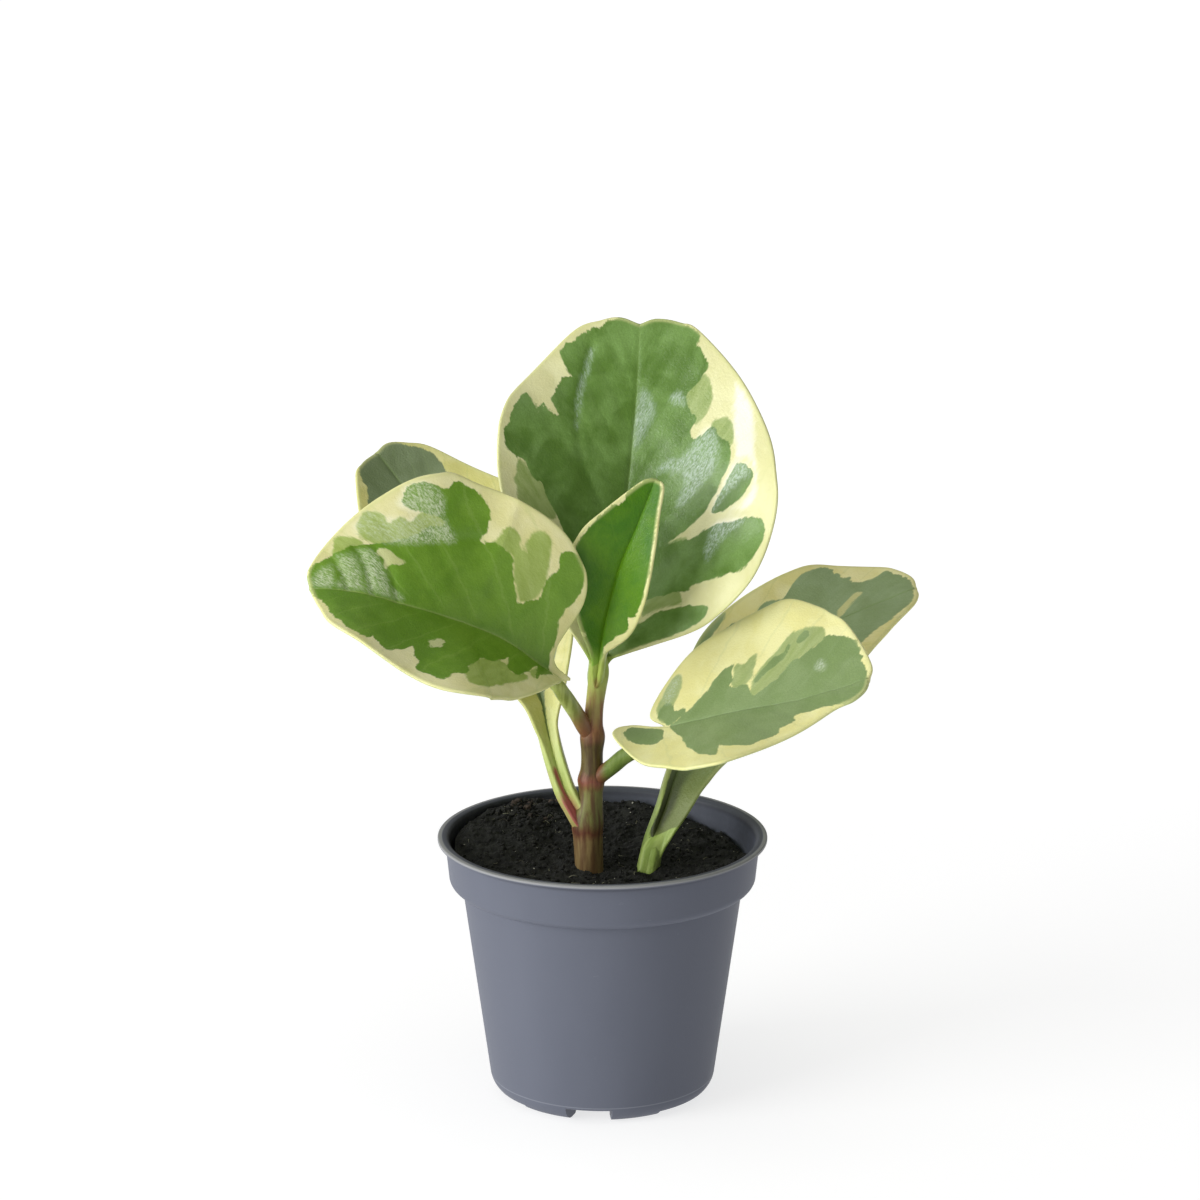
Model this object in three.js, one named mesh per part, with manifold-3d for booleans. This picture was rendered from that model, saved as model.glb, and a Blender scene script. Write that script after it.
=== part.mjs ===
// A young variegated peperomia in a round plastic nursery pot.
//
// Millimetres, +Z up, with the front of the plant towards -Y. Everything is drawn about the axis
// of the pot, with the surface it stands on at z = 0. The last lines shift the whole plant so that
// its origin lies under the middle of its own footprint.

import * as THREE from 'three';
import { mergeVertices } from 'three/addons/utils/BufferGeometryUtils.js';
import Module from 'manifold-3d';

const wasm = await Module();
wasm.setup();

// ---- Driving dimensions ------------------------------------------------------------------------

const GAP = 0.3; // left free between neighbouring pieces
const DEGREE = Math.PI / 180;
const SAME_PLACE = 1e-4; // vertices closer than this are one
const WELD = 0.02; // the same, once a piece is cut and joined

// Pot: a thin-walled cone with a wider collar, a flat lip, and a raised base on short feet.
const POT_HEIGHT = 48.5;
const POT_WALL = 0.8;
const POT_SEGMENTS = 48;
const LIP_RADIUS = 30;
const LIP_WIDTH = 1.3;
const LIP_EDGE = 0.7;
const COLLAR_TOP_RADIUS = 28.65;
const COLLAR_LOW_RADIUS = 27.95;
const COLLAR_BOTTOM = 39.5;
const COLLAR_BEND = 1.6; // height of the rounding at the foot of the collar
const SOFT_EDGE = 0.2; // taken off the sharp edges of the lip
const BODY_TOP_RADIUS = 25.6;
const BODY_SLOPE = 0.137; // radius lost for each millimetre down
const BASE_HEIGHT = 2.8; // underside of the raised base above the surface
const BASE_THICKNESS = 0.8;
const RING_INNER = 14.8; // the ring round the base is cut away between the feet
const RING_CORNER = 3.9; // radius of the bend from foot to wall
const FLOOR_CORNER = 1.5; // radius of the bend between wall and floor inside
const FOOT_HEIGHT = 1.2;
const FOOT_ANGLE = 27 * DEGREE;
const SLOT_COUNT = 3; // slots under the base, each between two feet
const SLOT_ANGLE = 24 * DEGREE;
const FIRST_SLOT = -97 * DEGREE;
const DRAIN_COUNT = 6;
const DRAIN_RADIUS = 2.1;
const DRAIN_RING = 9.5;

// Soil: a plug that fills the pot to a few millimetres under the lip.
const SOIL_LEVEL = 43.85;
const SOIL_TILT = { x: -0.045, y: 0.045 }; // rise in each millimetre to the right and to the back
const SOIL_HEAP = { x: -14, y: 18, height: 2.4, spread: 10 }; // piled up at the back left
const SOIL_LUMPS = [
  { height: 0.35, x: 0.7, y: 0.3, phase: 0 },
  { height: 0.3, x: 0.25, y: -0.8, phase: 1 },
];
const SOIL_EDGE = 0.2; // more room left at the wall where it bends
const SOIL_RINGS = 8;
const SOIL_SEGMENTS = 40;
const HOLE_CLEARANCE = 0.5;
const SOIL_TOP_CLEARANCE = 5; // how far a hole's cutter runs on above the soil

// Stem: places of its centre, each with the radius there. The thick places are its joints.
const STEM_SIDES = 14;
const STEM = [
  { at: [-2.3, -5, 31], radius: 2.4 },
  { at: [-2.4, -5, 42.3], radius: 2.55 },
  { at: [-2.6, -5, 49], radius: 2.65 },
  { at: [-2.7, -5, 52.4], radius: 2.9 },
  { at: [-2.3, -5, 55.6], radius: 2.35 },
  { at: [-2.1, -5, 58.4], radius: 2.2 },
  { at: [-2.0, -5, 60.4], radius: 2.45 },
  { at: [-1.9, -5, 62.6], radius: 2.05 },
  { at: [-1.9, -5, 65.6], radius: 1.95 },
  { at: [-1.8, -5, 68.6], radius: 2.25 },
  { at: [-1.7, -5, 71], radius: 1.8 },
  { at: [-1.4, -5, 74.4], radius: 1.65 },
  { at: [-0.9, -5, 78], radius: 1.75 },
  { at: [-0.7, -5, 79.8], radius: 1.85 },
];

// Leaves. The spine runs up the midrib from the foot to the tip. A leaf has its own coordinates:
// u is the distance up the spine, v the distance out from it, both along the leaf.
//   facing: share of the length, then the way the upper face looks there
//   trough: share, then for the left and for the right half how steeply it leaves the midrib, and
//           how much further it curls in each CURL_SPAN of width, in degrees
//   left, right: outline of each half as [u, v], from the foot to the tip, which the spine gives
//   petiole: places and radii of a separate round stalk that carries the blade from below
const CURL_SPAN = 20;
const BLADE_CENTRE = 1.1;
const BLADE_EDGE = 0.65;
const WAVE_HEIGHT = 0.5; // of the edge, CURL_SPAN out from the midrib
const WAVE_LENGTH = 19;
const KEEL_HALF_WIDTH = 2.3;
const KEEL_REACH = 0.8;
const LEAF_ROWS = 24;
const LEAF_COLUMNS = 5;
const PETIOLE_SIDES = 12;

const LEAVES = {
  leaf_top: {
    spine: [
      [-1, -3.6, 80.5], [0.3, -3, 87.8], [1.7, -2, 94.9], [3.1, -0.5, 102.8], [4.6, 2.5, 114],
      [6, 7, 127.6], [6.7, 12.5, 140.5],
    ],
    facing: [[0, 0, -1, 0.25], [0.3, 0, -1, 0.3], [1, -0.12, -1, 0.3]],
    trough: [[0, 25, 20, 25, 20], [0.2, 18, 12, 18, 20], [0.6, 12, 12, 8, 24], [1, 2, 8, 2, 12]],
    left: [
      [0, 1.6], [2.4, 2.6], [11.2, 11.2], [17.7, 17], [24.5, 21.6], [31.4, 24.2], [38.6, 25],
      [44.2, 24.2], [49.7, 21.5], [60.8, 12.4], [63.4, 7.1], [64.1, 3.6],
    ],
    right: [
      [0, 1.6], [2.5, 2.6], [4, 4.9], [11.9, 18.8], [17.8, 25], [23, 29], [30.2, 30.6],
      [36.3, 29.9], [44.4, 26.4], [60.8, 12], [63.3, 7.5], [64, 3],
    ],
    keel: 1.3,
    colour: 0x5d8a3a,
  },
  leaf_young: {
    spine: [
      [-0.8, -7, 81], [-0.1, -7.9, 87.1], [0.8, -9, 92], [2.9, -10.5, 100.7], [6.2, -11, 108.9],
      [9.5, -10, 117.2],
    ],
    facing: [[0, -0.25, -1, 0.1], [1, -0.3, -1, 0.15]],
    trough: [[0, 38, 6, 38, 4], [0.3, 33, 4, 33, 4], [1, 26, 4, 26, 4]],
    left: [
      [0, 1.5], [3.3, 2], [11, 5.9], [17.4, 8.5], [20.8, 9.7], [23.5, 9.6], [27.2, 8.4],
      [35.7, 3.2], [37.7, 1.4],
    ],
    right: [[0, 1.3], [4, 1.6], [6.8, 4], [11.4, 7.2], [16.8, 8.6], [22.7, 8], [31.8, 4.2], [37.4, 2.4]],
    keel: 0.5,
    colour: 0x4f8f28,
  },
  leaf_left_front: {
    spine: [
      [-7.6, -16.5, 82.1], [-16.6, -20.5, 89.9], [-23, -23, 93.6], [-29.4, -25.5, 96.5],
      [-41.6, -28.5, 100.9], [-50.4, -29.5, 101.9],
    ],
    facing: [[0, 0.2, -0.71, 0.71], [0.3, 0, -0.71, 0.71], [1, -0.25, -0.71, 0.71]],
    trough: [[0, 44, 0, 38, 0], [0.3, 30, 0, 30, 2], [1, 22, 2, 16, 6]],
    left: [
      [0, 0.9], [1.4, 3], [7.6, 11.5], [15, 18.3], [20.7, 22.2], [26, 23.3], [32.4, 20.1],
      [45.1, 10.8], [48.4, 4.8],
    ],
    right: [
      [-0.8, 0.5], [-1.8, 1.5], [2.4, 2], [4.4, 4.8], [5.1, 13], [7.3, 17.6], [10.3, 20],
      [15.5, 22.6], [29, 24.9], [34.2, 23.4], [39.1, 19.6], [45.4, 11], [50.3, 4],
    ],
    petiole: [
      { at: [-1.6, -4.9, 68.8], radius: 1.5 },
      { at: [-4.4, -8, 73.5], radius: 1.45 },
      { at: [-5.8, -10.8, 76.3], radius: 1.4 },
      { at: [-7, -13.8, 79], radius: 1.35 },
      { at: [-8.9, -16.7, 82.2], radius: 1.2 },
      { at: [-16.7, -20.2, 89.1], radius: 0.8 },
      { at: [-23.1, -22.8, 93.1], radius: 0.6 },
    ],
    keel: 0.3,
    colour: 0x5f8c3e,
  },
  leaf_left_back: {
    spine: [
      [-4.6, -5.5, 54.4], [-6.8, -4.5, 58.3], [-8.6, -3, 63.5], [-10, -0.5, 68.4], [-11.7, 3, 74.9],
      [-17.7, 9, 86.4], [-27.9, 17, 98.5], [-36.4, 24, 107.2], [-42, 28, 113.5],
    ],
    facing: [[0, 0, -1, 0.3], [0.3, 0.1, -1, 0.4], [0.6, 0.1, -0.7, 0.8], [1, 0.1, -0.45, 0.9]],
    trough: [[0, 45, 6, 45, 6], [0.3, 38, 6, 38, 6], [0.6, 16, 4, 16, 4], [1, 6, 2, 6, 2]],
    left: [
      [0, 2], [6, 1.8], [13, 2.3], [18, 3.8], [23, 6.2], [30, 10.6], [38, 14.8], [47, 17.2],
      [56, 17], [63, 15.2], [75.5, 8], [78, 4.4],
    ],
    right: [
      [0, 2], [6, 2.4], [13.5, 2.3], [18.6, 3.4], [23.8, 7.4], [29, 11], [37, 15], [47, 17.3],
      [55, 17], [62, 15.2], [74, 10.2], [77.7, 6.5], [79.5, 3.2],
    ],
    root: 3,
    keel: 1.7,
    colour: 0x7f8c68,
  },
  leaf_right_front: {
    spine: [
      [11.7, -18, 73.9], [19.7, -21.2, 76.6], [24.2, -23, 78.2], [33.4, -26, 80.8],
      [40.2, -27.8, 83.3], [46.3, -29, 85.9],
    ],
    facing: [[0, 0, -0.5, 0.87], [1, -0.25, -0.5, 0.87]],
    trough: [[0, 14, 4, 14, 4], [0.3, 12, 4, 18, 4], [1, 8, 4, 12, 4]],
    left: [
      [-1.5, 0.9], [-3.8, 2.8], [-1.9, 8.2], [1.8, 13], [6, 16.2], [11.5, 19], [17, 21], [22.5, 21.5],
      [28.5, 20], [33, 17], [36.2, 13.2], [39, 3.4],
    ],
    right: [
      [-1.5, 0.2], [-5, 0.6], [-7.2, 0.8], [-8.4, 2.2], [-7.8, 5], [-1.8, 12], [4, 15.6], [9, 19],
      [13, 20.2], [17, 19.4], [25, 11.6], [31.5, 6], [35, 5], [37.4, 3],
    ],
    earLift: 0.045, // how fast the lobe behind the stalk curls up
    petiole: [
      { at: [-1.6, -4.7, 60], radius: 1.55 },
      { at: [1.9, -8, 64.1], radius: 1.5 },
      { at: [4, -10.8, 66.6], radius: 1.5 },
      { at: [6.8, -13.6, 69], radius: 1.45 },
      { at: [9.9, -16, 71.2], radius: 1.4 },
      { at: [13.4, -17.9, 73.1], radius: 1.2 },
      { at: [19.8, -21, 75.9], radius: 0.8 },
      { at: [24.3, -22.8, 77.6], radius: 0.6 },
    ],
    keel: 0.3,
    colour: 0x8ba068,
  },
  leaf_right_back: {
    spine: [
      [8.3, -3, 43], [9.4, -2, 48.4], [11.7, -0.5, 54.6], [13.7, 1.5, 60.2], [18.1, 5, 67.7],
      [26, 10, 75.8], [38.2, 16, 81.7], [48.5, 20, 85.4], [58.4, 23, 88.7],
    ],
    facing: [[0, 0.3, -0.9, 0.2], [0.3, 0.2, -0.8, 0.4], [0.6, 0, -0.6, 0.75], [1, -0.15, -0.4, 0.9]],
    trough: [[0, 42, 6, 42, 6], [0.25, 38, 6, 38, 6], [0.6, 14, 4, 14, 4], [1, 4, 4, 4, 4]],
    left: [
      [0, 2.2], [8, 2.2], [14, 2.4], [19, 2.8], [25, 4.4], [33, 8.4], [41, 11.2], [50, 12.9],
      [58, 13.5], [64.6, 13.2], [74, 9], [77, 6.2], [78.4, 3],
    ],
    right: [
      [0, 2.2], [4, 2.3], [8.5, 3.4], [16, 5.8], [22, 7.6], [30, 11], [40, 14.5], [50, 15.5],
      [58, 13.6], [64, 10.6], [74, 5.2], [77, 2.4],
    ],
    root: 9,
    keel: 1.8,
    colour: 0x7d8c64,
  },
};

const COLOURS = {
  pot: { color: 0x6f747e, roughness: 0.55 },
  soil: { color: 0x24221c, roughness: 1 },
  stem: { color: 0x8a7a45, roughness: 0.5 },
  leaf: { roughness: 0.4 },
};

// ---- Closed surfaces and solids ----------------------------------------------------------------

function curveThrough(points) {
  const places = points.map(([x, y, z = 0]) => new THREE.Vector3(x, y, z));
  return new THREE.CatmullRomCurve3(places, false, 'catmullrom', 0.5);
}

function geometryOf(vertices, triangles) {
  const geometry = new THREE.BufferGeometry();
  geometry.setAttribute('position', new THREE.Float32BufferAttribute(vertices, 3));
  geometry.setIndex(triangles);
  return geometry;
}

// A closed geometry as a solid. Triangles that have shrunk to a line, as at a pole, are dropped.
function solidOf(geometry, weld = SAME_PLACE) {
  const bare = geometry.clone();
  bare.deleteAttribute('normal');
  bare.deleteAttribute('uv');
  const merged = mergeVertices(bare, weld);
  const kept = [];
  const index = merged.index.array;
  for (let i = 0; i < index.length; i += 3) {
    const [a, b, c] = index.slice(i, i + 3);
    if (a !== b && b !== c && c !== a) kept.push(a, b, c);
  }
  return new wasm.Manifold(new wasm.Mesh({
    numProp: 3,
    vertProperties: new Float32Array(merged.attributes.position.array),
    triVerts: new Uint32Array(kept),
  }));
}

function geometryOfSolid(solid) {
  const { vertProperties, triVerts } = solid.getMesh();
  return geometryOf(Array.from(vertProperties), Array.from(triVerts));
}

function meshOf(name, solid, look) {
  const geometry = geometryOfSolid(solidOf(geometryOfSolid(solid), WELD));
  geometry.computeVertexNormals();
  const mesh = new THREE.Mesh(geometry, new THREE.MeshStandardMaterial({ metalness: 0, ...look }));
  mesh.name = name;
  return mesh;
}

// Rings of vertices joined into a closed skin, with a point added at each end.
function closedRings(rings, startPoint, endPoint) {
  const sides = rings[0].length;
  const vertices = [...rings.flat(), startPoint, endPoint].flatMap((p) => p.toArray());
  const start = rings.length * sides;
  const end = start + 1;
  const triangles = [];
  for (let side = 0; side < sides; side += 1) {
    const next = (side + 1) % sides;
    triangles.push(start, next, side);
    for (let ring = 0; ring < rings.length - 1; ring += 1) {
      const low = ring * sides;
      const high = low + sides;
      triangles.push(low + side, low + next, high + next);
      triangles.push(low + side, high + next, high + side);
    }
    const last = (rings.length - 1) * sides;
    triangles.push(end, last + side, last + next);
  }
  return geometryOf(vertices, triangles);
}

// A round stalk through the given places, whose radius follows them.
function stalk(places, sides, extra = 0) {
  const curve = curveThrough(places.map((place) => place.at));
  const radii = curveThrough(places.map((place) => [place.radius, 0]));
  const steps = (places.length - 1) * 2;
  const rings = [];
  const centres = [];
  const frames = curve.computeFrenetFrames(steps);
  for (let step = 0; step <= steps; step += 1) {
    const share = step / steps;
    const radius = radii.getPoint(curve.getUtoTmapping(share)).x + extra;
    const centre = curve.getPointAt(share);
    if (step === 0) centre.addScaledVector(frames.tangents[0], -extra);
    if (step === steps) centre.addScaledVector(frames.tangents[steps], extra);
    const ring = [];
    for (let side = 0; side < sides; side += 1) {
      const angle = (side / sides) * 2 * Math.PI;
      const out = frames.normals[step].clone().multiplyScalar(Math.cos(angle) * radius);
      out.addScaledVector(frames.binormals[step], Math.sin(angle) * radius);
      ring.push(out.add(centre));
    }
    rings.push(ring);
    centres.push(centre);
  }
  return solidOf(closedRings(rings, centres[0], centres[steps]));
}

// ---- Pot ---------------------------------------------------------------------------------------

function bodyRadius(z) {
  return BODY_TOP_RADIUS - (COLLAR_BOTTOM - z) * BODY_SLOPE;
}

function potProfile() {
  const lipBottom = POT_HEIGHT - LIP_EDGE;
  const innerTop = COLLAR_TOP_RADIUS - POT_WALL;
  const innerFloor = BASE_HEIGHT + BASE_THICKNESS;
  const draft = Math.atan(BODY_SLOPE);
  const ringRadius = bodyRadius(RING_CORNER) - RING_CORNER / Math.cos(draft);
  const floorBend = innerFloor + FLOOR_CORNER;
  const floorRadius = bodyRadius(floorBend) - POT_WALL - FLOOR_CORNER / Math.cos(draft);
  const profile = new THREE.Path();
  profile.moveTo(0, BASE_HEIGHT);
  profile.lineTo(RING_INNER - 0.5, BASE_HEIGHT);
  profile.lineTo(RING_INNER, 0);
  profile.lineTo(ringRadius, 0);
  profile.absarc(ringRadius, RING_CORNER, RING_CORNER, -Math.PI / 2, -draft, false);
  profile.lineTo(BODY_TOP_RADIUS, COLLAR_BOTTOM);
  profile.lineTo(COLLAR_LOW_RADIUS - COLLAR_BEND / 2, COLLAR_BOTTOM);
  profile.quadraticCurveTo(
    COLLAR_LOW_RADIUS, COLLAR_BOTTOM, COLLAR_LOW_RADIUS, COLLAR_BOTTOM + COLLAR_BEND,
  );
  profile.lineTo(COLLAR_TOP_RADIUS, lipBottom);
  profile.lineTo(LIP_RADIUS - SOFT_EDGE / 2, lipBottom);
  profile.lineTo(LIP_RADIUS, POT_HEIGHT - SOFT_EDGE);
  profile.lineTo(LIP_RADIUS - SOFT_EDGE, POT_HEIGHT);
  profile.lineTo(LIP_RADIUS - LIP_WIDTH, POT_HEIGHT);
  profile.quadraticCurveTo(innerTop, POT_HEIGHT, innerTop, lipBottom - LIP_EDGE / 2);
  profile.lineTo(COLLAR_LOW_RADIUS - POT_WALL, COLLAR_BOTTOM + COLLAR_BEND);
  profile.lineTo(BODY_TOP_RADIUS - POT_WALL, COLLAR_BOTTOM - POT_WALL / 2);
  profile.absarc(floorRadius, floorBend, FLOOR_CORNER, -draft, -Math.PI / 2, true);
  profile.lineTo(0, innerFloor);
  const points = profile.getPoints(4);
  return points.filter((point, index) => index === 0 || point.distanceTo(points[index - 1]) > 0.01);
}

function lathed(points, segments) {
  return new THREE.LatheGeometry(points, segments).rotateX(Math.PI / 2);
}

function extruded(shape, depth, z) {
  const geometry = new THREE.ExtrudeGeometry(shape, { depth, bevelEnabled: false, curveSegments: 8 });
  return solidOf(geometry.translate(0, 0, z));
}

// What is cut from the ring between two directions, up to a height.
function ringCut(from, to, top) {
  const shape = new THREE.Shape();
  shape.absarc(0, 0, LIP_RADIUS, from, to, false);
  shape.absarc(0, 0, RING_INNER - 2, to, from, true);
  return extruded(shape, top + 1, -1);
}

function drainHole(x, y) {
  const shape = new THREE.Shape();
  shape.absarc(x, y, DRAIN_RADIUS, 0, 2 * Math.PI, false);
  return extruded(shape, BASE_HEIGHT + BASE_THICKNESS + 2, -1);
}

function pot() {
  let solid = solidOf(lathed(potProfile(), POT_SEGMENTS));
  solid = solid.subtract(drainHole(0, 0));
  for (let index = 0; index < DRAIN_COUNT; index += 1) {
    const angle = (index / DRAIN_COUNT) * 2 * Math.PI;
    solid = solid.subtract(drainHole(DRAIN_RING * Math.cos(angle), DRAIN_RING * Math.sin(angle)));
  }
  for (let index = 0; index < SLOT_COUNT; index += 1) {
    const slotStart = FIRST_SLOT - SLOT_ANGLE / 2 + (index / SLOT_COUNT) * 2 * Math.PI;
    const slotEnd = slotStart + SLOT_ANGLE;
    const nextStart = slotStart + (2 * Math.PI) / SLOT_COUNT;
    solid = solid.subtract(ringCut(slotStart, slotEnd, BASE_HEIGHT));
    solid = solid.subtract(ringCut(slotEnd + FOOT_ANGLE, nextStart - FOOT_ANGLE, FOOT_HEIGHT));
  }
  return solid;
}

// ---- Soil --------------------------------------------------------------------------------------

// Height of the soil's surface: higher against the back left wall, lower at the right, and lumpy.
function soilHeight(x, y) {
  let height = SOIL_LEVEL + SOIL_TILT.x * x + SOIL_TILT.y * y;
  for (const lump of SOIL_LUMPS) height += lump.height * Math.sin(lump.x * x + lump.y * y + lump.phase);
  const away = Math.hypot(x - SOIL_HEAP.x, y - SOIL_HEAP.y) / SOIL_HEAP.spread;
  height += SOIL_HEAP.height * Math.exp(-away * away / 2);
  return height;
}

function soil() {
  const wall = POT_WALL + GAP * 1.2;
  const floor = BASE_HEIGHT + BASE_THICKNESS + GAP;
  const ring = (radius, height) => {
    const places = [];
    for (let step = 0; step < SOIL_SEGMENTS; step += 1) {
      const angle = (step / SOIL_SEGMENTS) * 2 * Math.PI;
      const x = radius * Math.cos(angle);
      const y = radius * Math.sin(angle);
      places.push(new THREE.Vector3(x, y, height(x, y)));
    }
    return places;
  };
  const rings = [
    ring(bodyRadius(floor) - wall - FLOOR_CORNER, () => floor),
    ring(bodyRadius(floor) - wall, () => floor + FLOOR_CORNER),
    ring(BODY_TOP_RADIUS - wall - SOIL_EDGE, () => COLLAR_BOTTOM - GAP),
    ring(COLLAR_LOW_RADIUS - wall - SOIL_EDGE, () => COLLAR_BOTTOM + COLLAR_BEND + SOIL_EDGE),
  ];
  const edge = COLLAR_LOW_RADIUS - wall - SOIL_EDGE / 2;
  for (let step = SOIL_RINGS; step > 0; step -= 1) {
    rings.push(ring((edge * step) / SOIL_RINGS, soilHeight));
  }
  const bottom = new THREE.Vector3(0, 0, floor);
  const top = new THREE.Vector3(0, 0, soilHeight(0, 0));
  return solidOf(closedRings(rings, bottom, top));
}

// ---- Leaves ------------------------------------------------------------------------------------

// A value between the rows of a table whose first column is the share of the length.
function easedRow(table, share) {
  const last = table.length - 2;
  let row = 0;
  while (row < last && share > table[row + 1][0]) row += 1;
  const [from, ...before] = table[row];
  const [to, ...after] = table[row + 1];
  const ease = THREE.MathUtils.smoothstep(share, from, to);
  return before.map((value, column) => THREE.MathUtils.lerp(value, after[column], ease));
}

// The place on a leaf at u along and v across, raised by lift from the middle of the blade.
function leafPlacer(leaf) {
  const curve = curveThrough(leaf.spine);
  const length = curve.getLength();
  const place = (u, v, lift) => {
    const share = THREE.MathUtils.clamp(u / length, 0, 1);
    const along = curve.getTangentAt(share);
    const centre = curve.getPointAt(share).addScaledVector(along, u - share * length);
    const up = new THREE.Vector3(...easedRow(leaf.facing, share));
    up.addScaledVector(along, -up.dot(along)).normalize();
    const side = new THREE.Vector3().crossVectors(up, along);
    const trough = easedRow(leaf.trough, share);
    const [fold, curl] = v > 0 ? trough.slice(0, 2) : trough.slice(2);
    const bend = Math.max(curl / CURL_SPAN, 0.001) * DEGREE;
    const start = fold * DEGREE;
    const end = start + bend * Math.abs(v);
    const out = (Math.sin(end) - Math.sin(start)) / bend - lift * Math.sin(end);
    const rise = (Math.cos(start) - Math.cos(end)) / bend + lift * Math.cos(end);
    const ear = (leaf.earLift ?? 0) * Math.min(u, 0) ** 2;
    const phase = (2 * Math.PI * u) / WAVE_LENGTH + (v > 0 ? 0 : 2);
    const wave = WAVE_HEIGHT * Math.sin(phase) * (v / CURL_SPAN) ** 2;
    centre.addScaledVector(side, v > 0 ? out : -out);
    return centre.addScaledVector(up, rise + ear + wave);
  };
  return { place, length };
}

// How far the rounded rib stands out under the blade.
function keelDepth(leaf, share, v) {
  const along = Math.max(0, 1 - share / KEEL_REACH);
  const across = Math.max(0, 1 - (v / KEEL_HALF_WIDTH) ** 2);
  return leaf.keel * along * across;
}

// One closed blade: rows of points fan out from the midrib to the outline, above and below.
function blade(leaf) {
  const { place, length } = leafPlacer(leaf);
  const root = leaf.root ?? 0;
  const outlines = [leaf.left, leaf.right].map((points) => {
    const rooted = root > 0 ? [[-root, points[0][1]]] : [];
    return curveThrough([...rooted, ...points, [length, 0]]).getSpacedPoints(LEAF_ROWS);
  });
  const vertices = [];
  const width = 2 * LEAF_COLUMNS + 1;
  for (let row = 0; row <= LEAF_ROWS; row += 1) {
    const rib = THREE.MathUtils.lerp(-root, length, row / LEAF_ROWS);
    for (let column = 0; column < width; column += 1) {
      const step = LEAF_COLUMNS - column;
      const outline = outlines[step > 0 ? 0 : 1][row];
      const across = (Math.abs(step) / LEAF_COLUMNS) ** 1.4;
      const u = THREE.MathUtils.lerp(rib, outline.x, across);
      const v = Math.sign(step) * outline.y * across;
      const half = THREE.MathUtils.lerp(BLADE_CENTRE, BLADE_EDGE, across) / 2;
      const share = THREE.MathUtils.clamp(u / length, 0, 1);
      vertices.push(place(u, v, half), place(u, v, -half - keelDepth(leaf, share, v)));
    }
  }
  return solidOf(geometryOf(vertices.flatMap((p) => p.toArray()), bladeTriangles(width)));
}

function bladeTriangles(width) {
  const triangles = [];
  const top = (row, column) => 2 * (row * width + column);
  const bottom = (row, column) => top(row, column) + 1;
  const quad = (a, b, c, d) => triangles.push(a, b, c, a, c, d);
  for (let row = 0; row < LEAF_ROWS; row += 1) {
    for (let column = 0; column < width - 1; column += 1) {
      const corners = [[row, column], [row, column + 1], [row + 1, column + 1], [row + 1, column]];
      quad(...corners.map(([r, c]) => top(r, c)));
      const [a, b, c, d] = corners.map(([r, k]) => bottom(r, k));
      triangles.push(a, c, b, a, d, c);
    }
    quad(top(row, 0), top(row + 1, 0), bottom(row + 1, 0), bottom(row, 0));
    const edge = width - 1;
    quad(top(row + 1, edge), top(row, edge), bottom(row, edge), bottom(row + 1, edge));
  }
  for (let column = 0; column < width - 1; column += 1) {
    quad(top(0, column + 1), top(0, column), bottom(0, column), bottom(0, column + 1));
    quad(top(LEAF_ROWS, column), top(LEAF_ROWS, column + 1), bottom(LEAF_ROWS, column + 1),
      bottom(LEAF_ROWS, column));
  }
  return triangles;
}

function leafSolid(leaf) {
  const solid = blade(leaf);
  return leaf.petiole ? solid.add(stalk(leaf.petiole, PETIOLE_SIDES)) : solid;
}

// ---- The plant ---------------------------------------------------------------------------------

const plant = new THREE.Group();
const clearStem = stalk(STEM, STEM_SIDES, GAP);
const leafSolids = Object.fromEntries(
  Object.entries(LEAVES).map(([name, leaf]) => [name, leafSolid(leaf)]),
);

// A straight hole round the buried foot of the leaf that grows out of the soil by itself.
function leafHole(leaf) {
  const { place } = leafPlacer(leaf);
  const radius = leaf.left[0][1] + 2 * HOLE_CLEARANCE;
  const depths = [-leaf.root - HOLE_CLEARANCE, -1, SOIL_TOP_CLEARANCE];
  return stalk(depths.map((u) => ({ at: place(u, 0, -GAP).toArray(), radius })), STEM_SIDES);
}

let soilSolid = soil().subtract(stalk(STEM, STEM_SIDES, HOLE_CLEARANCE));
soilSolid = soilSolid.subtract(leafHole(LEAVES.leaf_right_back));

plant.add(meshOf('pot', pot(), COLOURS.pot));
plant.add(meshOf('soil', soilSolid, COLOURS.soil));
plant.add(meshOf('stem', stalk(STEM, STEM_SIDES), COLOURS.stem));
for (const [name, solid] of Object.entries(leafSolids)) {
  plant.add(meshOf(name, solid.subtract(clearStem), { ...COLOURS.leaf, color: LEAVES[name].colour }));
}

// The origin goes under the middle of the footprint.
const middle = new THREE.Box3().setFromObject(plant).getCenter(new THREE.Vector3());
plant.position.set(-middle.x, -middle.y, 0);

export default plant;
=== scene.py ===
"""A young variegated peperomia in a round plastic nursery pot, dressed for rendering.

Everything is drawn in millimetres about the axis of the pot, with +Z up and the front of the plant
towards -Y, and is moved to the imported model's frame, in metres, as it becomes a mesh.
"""

import math
import random

import bmesh
import bpy
import numpy as np
from mathutils import Euler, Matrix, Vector, noise


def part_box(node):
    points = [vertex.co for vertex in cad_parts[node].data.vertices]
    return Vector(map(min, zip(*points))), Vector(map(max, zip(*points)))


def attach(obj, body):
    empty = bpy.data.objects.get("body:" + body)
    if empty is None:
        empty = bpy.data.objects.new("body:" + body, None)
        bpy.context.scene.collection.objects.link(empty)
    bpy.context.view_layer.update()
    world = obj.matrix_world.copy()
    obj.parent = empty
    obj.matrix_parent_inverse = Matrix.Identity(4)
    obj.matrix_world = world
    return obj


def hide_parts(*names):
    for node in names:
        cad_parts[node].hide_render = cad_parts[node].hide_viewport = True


MM = 0.001

# ---- Camera and light ----

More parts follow.
